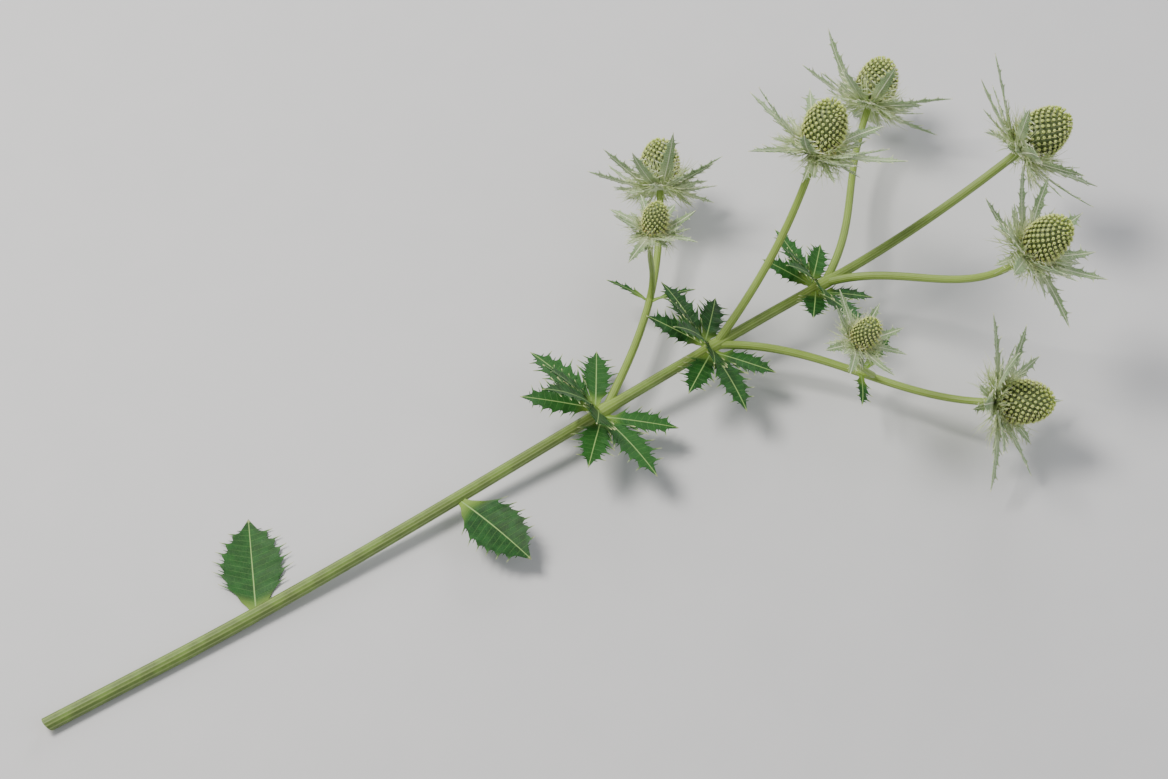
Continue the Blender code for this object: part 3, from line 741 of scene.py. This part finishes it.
def model_bractlet(length, side_spines):
    """One fine spiny bractlet, with a pair of side spines or none"""
    parts = [drawn_spine(length, 0.55 * MM, 0.06 * MM, 3, 4, from_rib=NO_MIDRIB)]
    for turn, share in ((34, 0.38), (-36, 0.52)) if side_spines else ():
        twig = drawn_spine(length * 0.36, 0.28 * MM, 0.06 * MM, 3, 2, from_rib=NO_MIDRIB)
        place = Matrix.Translation((length * share, 0, 0)) @ Matrix.Rotation(math.radians(turn), 4, "Z")
        set_points(twig.data, moved(points_of(twig.data), place))
        parts.append(twig)
    return join(parts, "bractlet")


def bent(points, arch, length, twist=0.0):
    """Curls a flat blade in an arc along its X, and twists it a little towards its tip"""
    x, y, z = points.T
    turn = np.radians(twist) * x / length
    y, z = y * np.cos(turn) - z * np.sin(turn), y * np.sin(turn) + z * np.cos(turn)
    curl = math.radians(arch) / length
    if abs(curl) < 1e-6:
        return np.stack((x, y, z), 1)
    angle = curl * x
    return np.stack(((1 / curl - z) * np.sin(angle), y, 1 / curl - (1 / curl - z) * np.cos(angle)), 1)


def moved(points, matrix):
    """Points turned and shifted by a matrix"""
    turned = np.array(matrix)
    return points @ turned[:3, :3].T + turned[:3, 3]


def bract_plan(name, count, turn, size):
    """Each bract's bearing round the collar, rise, arch and length, with small seeded differences"""
    draw = random.Random("bracts " + name)
    plan = []
    for i in range(count):
        bearing = turn + 360 * i / count + draw.uniform(-5, 5)
        rise = (4, 24, 12, 28)[i % 4] + draw.uniform(-4, 4)
        arch = draw.uniform(-16, 26)
        length = BRACT_LENGTH * size * draw.uniform(0.84, 1.12)
        plan.append((bearing, rise, arch, length))
    return plan


def outwards(bearing, rise, radius, height):
    """The place of a blade's foot on a collar, with the way that it leaves it"""
    spin = Matrix.Rotation(math.radians(bearing), 4, "Z")
    lift = Matrix.Rotation(math.radians(-rise), 4, "Y")
    return spin @ Matrix.Translation((radius, 0, height)) @ lift


def set_out(points, place, bearing, rise, radius, height):
    """Points of a blade that grows outwards from the collar. It rises clear of the surface"""
    spot = moved(points, place @ outwards(bearing, rise, radius, height))
    while spot[:, 2].min() < 0 and rise < STEEPEST_BRACT_DEG:
        rise += 0.25
        spot = moved(points, place @ outwards(bearing, rise, radius, height))
    return spot


def cone_outline(size):
    """Radius and height of fine steps up an egg-shaped cone, with the way each step faces"""
    fullest = CONE_FULLEST * CONE_HEIGHT
    foot, top = math.radians(CONE_FOOT_DEG), math.radians(CONE_TOP_DEG)
    below = fullest / math.sin(-foot)
    above = CONE_HEIGHT - fullest
    angles = np.linspace(foot, top, 200)
    tall = np.where(angles > 0, above, below)
    radius = CONE_RADIUS * np.cos(angles) * size
    height = (fullest + np.sin(angles) * tall) * size
    out_r, out_h = np.cos(angles) / CONE_RADIUS, np.sin(angles) / tall
    scale = np.hypot(out_r, out_h)
    return radius, height, out_r / scale, out_h / scale


def model_floret():
    """One closed floret, drawn up from a ten-sided ring: a flared wall, five sepal tips and a round bud"""
    floret = start_ring("floret", 10, FLORET_RINGS[0][1] * MM)
    for ring, ((low, inner), (high, outer)) in enumerate(zip(FLORET_RINGS, FLORET_RINGS[1:]), 1):
        draw_out((0, 0, (high - low) * MM), (outer / inner, outer / inner, 1))
        if ring == FLORET_RIM:
            mesh = bmesh.from_edit_mesh(floret.data)
            rim = sorted((v for v in mesh.verts if v.select), key=lambda v: math.atan2(v.co.y, v.co.x))
            for corner in rim[::2]:
                corner.co.x *= RIM_CORNER_IN
                corner.co.y *= RIM_CORNER_IN
                corner.co.z -= RIM_CORNER_DOWN
            bmesh.update_edit_mesh(floret.data)
    end_edit()
    x, y, z = points_of(floret.data).T / MM
    reach = np.hypot(x, y)
    inside = (z > 2.1) & (reach < 0.4)
    # Height up the wall: the lower wall takes the gap colour, which is partly painted shade between the florets
    up_wall = np.where(inside, 1.0, np.clip(z / 2.15, 0, 1))
    known = np.stack((np.where(inside, reach, 1.0), up_wall, 0 * x), 1)
    set_vectors(floret.data, "floret_place", known)
    return floret


def model_bristle():
    """One bristle beside a floret: a thin three-sided spine"""
    bpy.ops.mesh.primitive_cone_add(
        vertices=3,
        radius1=BRISTLE_RADIUS,
        radius2=BRISTLE_TIP_RADIUS,
        depth=BRISTLE_LENGTH,
        location=(0, 0, BRISTLE_LENGTH / 2),
    )
    bristle = bpy.context.object
    bristle.name = "bristle"
    only(bristle)
    bpy.ops.object.transform_apply(location=True, rotation=True, scale=True)
    return bristle


def egg_core(name, size, place, lift):
    """The solid heart of a cone, under its florets"""
    bpy.ops.mesh.primitive_uv_sphere_add(segments=24, ring_count=14, radius=1)
    core = bpy.context.object
    core.name = name
    points = points_of(core.data)
    fullest = CONE_FULLEST * CONE_HEIGHT
    tall = np.where(points[:, 2] > 0, CONE_HEIGHT - fullest - CORE_TIP_UNDER, fullest * 1.02)
    shaped = np.stack(
        (
            points[:, 0] * (CONE_RADIUS - CORE_UNDER) * size,
            points[:, 1] * (CONE_RADIUS - CORE_UNDER) * size,
            (fullest + points[:, 2] * tall) * size + lift,
        ),
        1,
    )
    set_points(core.data, moved(shaped, place))
    # The core shows the gap colour all over: the tissue between the florets, darkened as painted shade
    set_vectors(core.data, "floret_place", np.tile((1.0, 0.0, 0.5), (len(points), 1)))
    set_shade(core.data, 0.5)
    return core


def build_cone(name, place, size, floret, bristle, florets, floret_size):
    """A head's florets, set out in a golden spiral from the foot of the cone to its tip"""
    radius, height, out_r, out_h = cone_outline(size)
    lift = HUB_HEIGHT * size + CONE_SEAT
    area = np.concatenate(([0], np.cumsum(radius[1:] * np.hypot(np.diff(radius), np.diff(height)))))
    area /= area[-1]
    draw = random.Random("florets " + name)
    pieces = [egg_core("core", size, place, lift)]
    bristles = []
    for i in range(florets):
        share = 1 - (1 - (i + 0.5) / florets) ** FLORET_CROWDING
        r, h, nr, nh = (np.interp(share, area, line) for line in (radius, height, out_r, out_h))
        angle = GOLDEN_ANGLE * i
        out = Vector((math.cos(angle) * nr, math.sin(angle) * nr, nh + FLORET_LEAN * (1 - share)))
        spot = Matrix.Translation((math.cos(angle) * r, math.sin(angle) * r, h + lift))
        turned = frame_along(out, Vector((0, 0, 1))).to_4x4() @ Matrix.Rotation(math.radians(90), 4, "Y")
        grown = floret_size * (1 - FLORET_SMALLER * share**4) * draw.uniform(0.93, 1.05)
        tall = grown * draw.uniform(0.94, 1.08) * (1 + FLORET_TALLER * (1 - share) ** 4)
        sink = Matrix.Translation((0, 0, -FLORET_SUNK))
        scaled = Matrix.Diagonal((grown, grown, tall, 1))
        made = copy_of(floret)
        whole = place @ spot @ turned @ sink @ Matrix.Rotation(draw.uniform(0, 1.3), 4, "Z") @ scaled
        known = vectors_of(made.data, "floret_place")
        known[:, 2] = share
        set_points(made.data, moved(points_of(made.data), whole))
        set_vectors(made.data, "floret_place", known)
        set_shade(made.data, draw.random())
        pieces.append(made)
        # A bristle stands below each floret and leans out past it, longest at the foot of the cone
        low = h + lift - BRISTLE_SUNK * size
        below = Matrix.Translation((math.cos(angle) * r, math.sin(angle) * r, low))
        made = copy_of(bristle)
        long = (0.92 + 1.5 * (1 - share) ** 3) * size**0.5
        points = points_of(made.data) * np.array((1, 1, long))
        tilt = Matrix.Rotation(draw.uniform(-0.25, 0.25), 4, "Y")
        set_points(made.data, moved(points, place @ below @ turned @ tilt))
        set_shade(made.data, draw.random())
        bristles.append(made)
    cone = join(pieces, "head_" + name + "_florets")
    finish_piece(cone, finish("florets"), "florets", "cone_" + name, smooth_deg=42)
    spines = join(bristles, "head_" + name + "_bristles")
    finish_piece(spines, finish("spines"), "florets", smooth_deg=30)


def build_hub(place, size):
    """The cup that carries a head's bracts, turned up from a ring on the end of the stem"""
    hub = start_ring("hub", 24, HUB_FOOT_RADIUS * size)
    for spread in HUB_FLARE:
        draw_out((0, 0, HUB_HEIGHT * size / len(HUB_FLARE)), (spread, spread, 1))
    end_edit()
    points = points_of(hub.data)
    set_vectors(hub.data, "blade_place", [(0.5, 3.0, 0.0)] * len(points))
    set_floats(hub.data, "from_rib", NO_MIDRIB)
    set_points(hub.data, moved(points, place))
    set_shade(hub.data, 0.2)
    return hub


def build_collar(name, place, size, count, turn, patterns, bractlets):
    """A head's bracts and the finer spiny bractlets between them, on their cup"""
    root = HUB_RADIUS * size - BRACT_SUNK * size**0.5
    draw = random.Random("collar " + name)
    pieces = [build_hub(place, size)]
    bracts = patterns["young bracts" if name in YOUNG else "bracts"]
    for i, (bearing, rise, arch, length) in enumerate(bract_plan(name, count, turn, size)):
        pattern, pattern_length = bracts[i % len(bracts)]
        made = copy_of(pattern)
        thick = size**0.5
        points = points_of(made.data) * np.array((length / pattern_length, thick, thick))
        points = bent(points, arch, length, draw.uniform(-18, 18))
        set_points(made.data, set_out(points, place, bearing, rise, root, BRACT_SEAT * HUB_HEIGHT * size))
        set_shade(made.data, draw.random() * 0.6)
        pieces.append(made)
    # Narrower inner bracts stand between the long ones
    between = random.Random("needles " + name)
    pattern, pattern_length = patterns["inner bracts"]
    for i in range(2 * count):
        made = copy_of(pattern)
        length = (1.5 if i < count else 1.2) * NEEDLE_LENGTH * size * between.uniform(0.8, 1.1)
        points = points_of(made.data) * np.array((length / pattern_length, size**0.5, size**0.5))
        points = bent(points, draw.uniform(-10, 30), length, draw.uniform(-25, 25))
        shift = 0.5 if i < count else 0.22
        bearing, rise = turn + 360 * (i + shift) / count, between.uniform(-28, 30)
        set_points(made.data, set_out(points, place, bearing, rise, root, INNER_SEAT * HUB_HEIGHT * size))
        set_shade(made.data, draw.random() * 0.8)
        pieces.append(made)
    collar = join(pieces, "head_" + name + "_bracts")
    finish_piece(collar, finish("bracts"), "bracts", "bracts_" + name, smooth_deg=50)
    fine = []
    for i in range(bractlets):
        pattern, pattern_length = patterns["bractlets"][i % 3 > 0]
        made = copy_of(pattern)
        length = size**0.7 * draw.uniform(*BRACTLET_REACH_MM) * MM
        stretch = length / pattern_length
        points = points_of(made.data) * np.array((stretch, 0.5 + 0.5 * stretch, 1.0))
        points = bent(points, draw.uniform(-25, 45), length, draw.uniform(-90, 90))
        rise = draw.uniform(-38, 52)
        height = (0.6 + rise / 160) * HUB_HEIGHT * size
        bearing = 360 * draw.random()
        foot = root + draw.uniform(0.6, 2.2) * MM
        set_points(made.data, set_out(points, place, bearing, rise, foot, height))
        set_shade(made.data, draw.random())
        fine.append(made)
    haze = join(fine, "head_" + name + "_bractlets")
    finish_piece(haze, finish("bractlets"), "bracts", smooth_deg=50)


def clamp_lobe(points, turned, low, high):
    """Holds a lobe's points within its own slice of a leaf, so that the lobes meet and don't cross"""
    flat = moved(points, turned.to_4x4())
    angle = np.arctan2(flat[:, 1], flat[:, 0])
    held = np.clip(angle, low, high)
    reach = np.hypot(flat[:, 0], flat[:, 1])
    crossing = (angle != held) & (reach > 1e-9)
    reach = np.where(crossing, reach * np.cos(angle - held), reach)
    flat[:, 0], flat[:, 1] = np.cos(held) * reach, np.sin(held) * reach
    return flat


def model_leaf(kind, length, seed):
    """A flat leaf of one or three toothed lobes, along X"""
    lobes, width, widths, tooth, foot = LEAF_KINDS[kind]
    parts = []
    for i, (angle, share) in enumerate(lobes):
        blade = sheet(
            "lobe",
            length * share,
            width * length,
            widths,
            tooth * length * LEAF_SPINES,
            LEAF_TEETH,
            foot * MM,
            rib=0.3 * MM,
            wave=0.014 * length,
            seed=seed + str(i),
        )
        turned = Matrix.Rotation(math.radians(angle), 3, "Z")
        if len(lobes) > 1:
            low = -math.pi if i == 0 else math.radians((lobes[i - 1][0] + angle) / 2)
            high = math.pi if i == len(lobes) - 1 else math.radians((lobes[i + 1][0] + angle) / 2)
            set_points(blade.data, clamp_lobe(points_of(blade.data), turned, low, high))
        thicken(blade, LEAF_THICKNESS)
        rib = drawn_spine(length * share * 0.97, 0.5 * MM, 0.1 * MM, 6, 7, sink=0.24 * MM)
        set_points(rib.data, moved(points_of(rib.data), turned.to_4x4()))
        parts += [blade, rib]
    return join(parts, "leaf")


class SeaHollySizes(bpy.types.PropertyGroup):
    """Sizes that change how full the plant looks"""

    florets: bpy.props.IntProperty(
        name="Florets", description="Florets on each full-grown cone", default=236, min=20, max=400
    )
    young_florets: bpy.props.IntProperty(
        name="Young florets", description="Florets on each young cone", default=155, min=20, max=300
    )
    bractlets: bpy.props.IntProperty(
        name="Bractlets", description="Spiny bractlets round a full-grown cone", default=250, min=0, max=400
    )
    bract_thickness: bpy.props.FloatProperty(
        name="Bract thickness",
        description="Thickness of a bract's blade",
        default=0.4 * MM,
        unit="LENGTH",
        precision=5,
    )
    vein_spacing: bpy.props.FloatProperty(
        name="Vein spacing",
        description="Space between side veins",
        default=1.7 * MM,
        unit="LENGTH",
        precision=5,
    )


class SeaHollyColours(bpy.types.PropertyGroup):
    """Main colours of the plant. Darker and paler parts follow them"""

    stem: bpy.props.FloatVectorProperty(
        name="Stem", description="Green of the older stem", subtype="COLOR", size=4, default=linear("#5F8029")
    )
    young_stem: bpy.props.FloatVectorProperty(
        name="Young stem", description="Tips and branches", subtype="COLOR", size=4, default=linear("#83A036")
    )
    floret: bpy.props.FloatVectorProperty(
        name="Floret", description="Tips of the florets", subtype="COLOR", size=4, default=linear("#D2E07E")
    )
    # The dark green between the florets, deepened as painted shade; it also colours the cone's core and the
    # lower floret walls
    floret_gap: bpy.props.FloatVectorProperty(
        name="Floret gap", description="Between the florets", subtype="COLOR", size=4, default=linear("#28480B")
    )
    bract: bpy.props.FloatVectorProperty(
        name="Bract", description="Blades round each cone", subtype="COLOR", size=4, default=linear("#7C9E66")
    )
    bract_vein: bpy.props.FloatVectorProperty(
        name="Bract midrib", description="Bracts' midrib", subtype="COLOR", size=4, default=linear("#E6EFD0")
    )
    bractlet: bpy.props.FloatVectorProperty(
        name="Bractlet", description="Fine spiny bractlets", subtype="COLOR", size=4, default=linear("#C4D6A2")
    )
    leaf: bpy.props.FloatVectorProperty(
        name="Leaf", description="Leaf blades", subtype="COLOR", size=4, default=linear("#1E5120")
    )
    leaf_vein: bpy.props.FloatVectorProperty(
        name="Leaf midrib", description="Leaves' midrib", subtype="COLOR", size=4, default=linear("#93B56C")
    )


FINISHES = {}


def finish(name):
    """The plant's materials, each made the first time that one is asked for"""
    if not FINISHES:
        sizes = bpy.context.scene.sea_holly_sizes
        colours = bpy.context.scene.sea_holly_colours
        picked = {part: tuple(getattr(colours, part)) for part in colours.__annotations__}
        FINISHES["stem"] = stem_material(picked["stem"], picked["young_stem"])
        FINISHES["pith"] = pith_material()
        FINISHES["florets"] = floret_material(picked["floret_gap"], picked["floret"])
        FINISHES["spines"] = spine_material()
        for part, title, look, tissue, dark, midrib, apart, net in (
            # Grey green tissue with a white bloom: pale and matt, with raised pale veins
            ("bracts", "Silver green bract", BRACT_LOOK, "bract", 0.55, "bract_vein", 1, BRACT_NET),
            # The same tissue drawn out fine: paler, because spines take up most of it
            ("bractlets", "Pale bractlet", BRACTLET_LOOK, "bractlet", 0.7, "bract_vein", 1, BRACT_NET),
            # Tough leaf with a skin of wax: deep green and a little glossy, with pale veins
            ("leaves", "Waxy green leaf", LEAF_LOOK, "leaf", 0.42, "leaf_vein", 2, LEAF_NET),
        ):
            vein_mm = apart * sizes.vein_spacing / MM
            FINISHES[part] = blade_material(title, look, picked[tissue], dark, picked[midrib], vein_mm, net)
    return FINISHES[name]


class SEAHOLLY_OT_stem(bpy.types.Operator):
    """Grow the main stem and its side branches"""

    bl_idname = "sea_holly.stem"
    bl_label = "Grow stem"

    def execute(self, context):
        deselect_all()
        main = [CUT_END + stem_point(STEM_LENGTH * i / STEM_RINGS) for i in range(STEM_RINGS + 1)]
        pieces = [
            round_stem(
                "stem", main, lambda share: stem_radius(STEM_LENGTH * share), STEM_SIDES, stem_youth, CUT_SLANT
            )
        ]
        for name, curve in plan_branches().items():
            thin = YOUNG_BRANCH if name in YOUNG else 1.0
            path = [CUT_END + bezier(*curve, i / BRANCH_RINGS) for i in range(BRANCH_RINGS + 1)]
            pieces.append(
                round_stem(
                    "branch",
                    path,
                    lambda share, thin=thin: BRANCH_RADIUS * thin * (1 - 0.15 * share),
                    BRANCH_SIDES,
                    lambda share: 0.65 + 0.3 * share,
                )
            )
        stem = join(pieces, "ribbed_stem")
        stem.data.materials.append(finish("stem"))
        stem.data.materials.append(finish("pith"))
        # The slanting cut end shows the pith
        for face in stem.data.polygons:
            if face.normal.x < -0.7 and face.center.x < CUT_END.x + 6 * MM and len(face.vertices) > 8:
                face.material_index = 1
        finish_piece(stem, None, "stem", "stem", smooth_deg=50)
        return {"FINISHED"}


class SEAHOLLY_OT_cones(bpy.types.Operator):
    """Set out the florets of each cone"""

    bl_idname = "sea_holly.cones"
    bl_label = "Grow cones"

    def execute(self, context):
        deselect_all()
        sizes = context.scene.sea_holly_sizes
        floret, bristle = model_floret(), model_bristle()
        for name, (place, size, _, _) in plan_heads().items():
            florets, grown = sizes.florets, size**0.5
            if name in YOUNG:
                florets, grown = sizes.young_florets, grown * YOUNG_FLORET
            build_cone(name, place, size, floret, bristle, florets, grown)
        for pattern in (floret, bristle):
            bpy.data.objects.remove(pattern)
        return {"FINISHED"}


class SEAHOLLY_OT_collars(bpy.types.Operator):
    """Set out the spiny bracts under each cone. A young cone has half as many bractlets"""

    bl_idname = "sea_holly.collars"
    bl_label = "Grow bract collars"

    def execute(self, context):
        deselect_all()
        sizes = context.scene.sea_holly_sizes
        thickness = sizes.bract_thickness
        patterns = {"bracts": [], "young bracts": []}
        for kind, widths, tooth, number in (
            ("bracts", BRACT_WIDTHS, BRACT_TOOTH, 4),
            ("young bracts", YOUNG_BRACT_WIDTHS, YOUNG_BRACT_TOOTH, 3),
        ):
            for i in range(number):
                blade = sheet(
                    "bract",
                    BRACT_LENGTH,
                    BRACT_WIDENED * BRACT_HALF_WIDTH,
                    widths,
                    tooth,
                    BRACT_TEETH,
                    foot=1.3 * MM,
                    rib=0.3 * MM,
                    wave=0.4 * MM,
                    seed=kind + str(i),
                )
                thicken(blade, thickness)
                rib = drawn_spine(BRACT_LENGTH * 0.97, 0.6 * MM, 0.1 * MM, 6, 7, sink=0.2 * MM)
                patterns[kind].append((join([blade, rib], "bract"), BRACT_LENGTH))
        inner = sheet(
            "inner bract",
            INNER_LENGTH,
            INNER_HALF_WIDTH,
            INNER_WIDTHS,
            INNER_TOOTH,
            BRACT_TEETH,
            foot=0.9 * MM,
            rib=0.2 * MM,
            wave=0.25 * MM,
            seed="inner",
        )
        patterns["inner bracts"] = (thicken(inner, thickness * 0.8), INNER_LENGTH)
        patterns["bractlets"] = [
            (model_bractlet(BRACTLET_LENGTH, side_spines), BRACTLET_LENGTH) for side_spines in (False, True)
        ]
        for name, (place, size, count, turn) in plan_heads().items():
            bractlets = sizes.bractlets // 2 if name in YOUNG else sizes.bractlets
            build_collar(name, place, size, count, turn, patterns, bractlets)
        shared = [patterns["inner bracts"], *patterns["bractlets"]]
        for pattern, _ in patterns["bracts"] + patterns["young bracts"] + shared:
            bpy.data.objects.remove(pattern)
        return {"FINISHED"}


class SEAHOLLY_OT_leaves(bpy.types.Operator):
    """Grow the leaves along the stem and at its forks"""

    bl_idname = "sea_holly.leaves"
    bl_label = "Grow leaves"

    def execute(self, context):
        deselect_all()
        curves = plan_branches()
        draw = random.Random("leaves")
        for name, kind, grows_on, distance, heading, pitch, to_sky, length, arch in LEAVES:
            if grows_on == "stem":
                s = distance * MM
                middle, along, radius = stem_point(s), stem_direction(s), stem_radius(s)
            else:
                middle, along = fork_of(curves[grows_on])
                radius = BRANCH_RADIUS
            ahead = direction(heading, pitch)
            radial = (ahead - ahead.dot(along) * along).normalized()
            foot = middle + radial * (radius - 0.2 * MM)
            if kind == "resting":
                foot = Vector((middle.x, middle.y + 2.3 * MM, 0.55 * MM))
            face = along * (1 - to_sky) + Vector((0, 0, 1)) * to_sky
            leaf = model_leaf(kind, length * MM, name)
            place = Matrix.Translation(CUT_END + foot) @ frame_along(ahead, face).to_4x4()
            twist = 0.0 if kind == "resting" else draw.uniform(-8, 8)
            points = bent(points_of(leaf.data), arch, length * MM, twist)
            if kind == "resting":
                points[:, 2] *= 0.6
            placed = moved(points, place)
            if kind == "resting":
                placed[:, 2] -= placed[:, 2].min()
            set_points(leaf.data, placed)
            set_shade(leaf.data, draw.random() * 0.7)
            leaf.name = name + "_blade"
            finish_piece(leaf, finish("leaves"), "leaves", name, smooth_deg=45)
        return {"FINISHED"}


class SEAHOLLY_OT_stage(bpy.types.Operator):
    """Set the pale floor, the soft lights and the camera"""

    bl_idname = "sea_holly.stage"
    bl_label = "Set stage"

    def execute(self, context):
        deselect_all()
        bpy.ops.mesh.primitive_plane_add(size=FLOOR_SIZE, location=(0, 0, 0))
        floor = bpy.context.object
        floor.name = "floor"
        floor.data.materials.append(paper_material())
        world = bpy.data.worlds.new("Studio air")
        world.use_nodes = True
        world.node_tree.nodes["Background"].inputs[0].default_value = linear("#ECECEA")
        world.node_tree.nodes["Background"].inputs[1].default_value = AIR_STRENGTH
        context.scene.world = world
        for name, place, size, watts, tint in LAMPS:
            lamp = bpy.data.lights.new(name, "AREA")
            lamp.energy, lamp.size, lamp.color = watts, size, linear(tint)[:3]
            light = bpy.data.objects.new(name, lamp)
            light.location = place
            light.rotation_euler = (LAMPS_AIM - Vector(place)).to_track_quat("-Z", "Y").to_euler()
            context.collection.objects.link(light)
        eye = bpy.data.cameras.new("camera")
        eye.lens = LENS
        camera = bpy.data.objects.new("camera", eye)
        away = direction(CAMERA_AZIMUTH_DEG - 90, CAMERA_ELEVATION_DEG)
        camera.location = CAMERA_AIM + away * CAMERA_DISTANCE
        camera.rotation_euler = (-away).to_track_quat("-Z", "Y").to_euler()
        context.collection.objects.link(camera)
        context.scene.camera = camera
        return {"FINISHED"}


class SEAHOLLY_PT_panel(bpy.types.Panel):
    """Lists what the plant is made of"""

    bl_label = "Sea holly"
    bl_space_type = "VIEW_3D"
    bl_region_type = "UI"
    bl_category = "Sea holly"

    def draw(self, context):
        for group in (context.scene.sea_holly_sizes, context.scene.sea_holly_colours):
            for name in group.__annotations__:
                self.layout.prop(group, name)
        for operator in OPERATORS:
            self.layout.operator(operator.bl_idname)


OPERATORS = (SEAHOLLY_OT_stem, SEAHOLLY_OT_cones, SEAHOLLY_OT_collars, SEAHOLLY_OT_leaves, SEAHOLLY_OT_stage)
CLASSES = (SeaHollySizes, SeaHollyColours, *OPERATORS, SEAHOLLY_PT_panel)


def register():
    for item in CLASSES:
        bpy.utils.register_class(item)
    bpy.types.Scene.sea_holly_sizes = bpy.props.PointerProperty(type=SeaHollySizes)
    bpy.types.Scene.sea_holly_colours = bpy.props.PointerProperty(type=SeaHollyColours)


def unregister():
    del bpy.types.Scene.sea_holly_colours
    del bpy.types.Scene.sea_holly_sizes
    for item in reversed(CLASSES):
        bpy.utils.unregister_class(item)


def main():
    register()
    bpy.ops.sea_holly.stem()
    bpy.ops.sea_holly.cones()
    bpy.ops.sea_holly.collars()
    bpy.ops.sea_holly.leaves()
    bpy.ops.sea_holly.stage()
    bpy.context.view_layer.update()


if __name__ == "__main__":
    main()
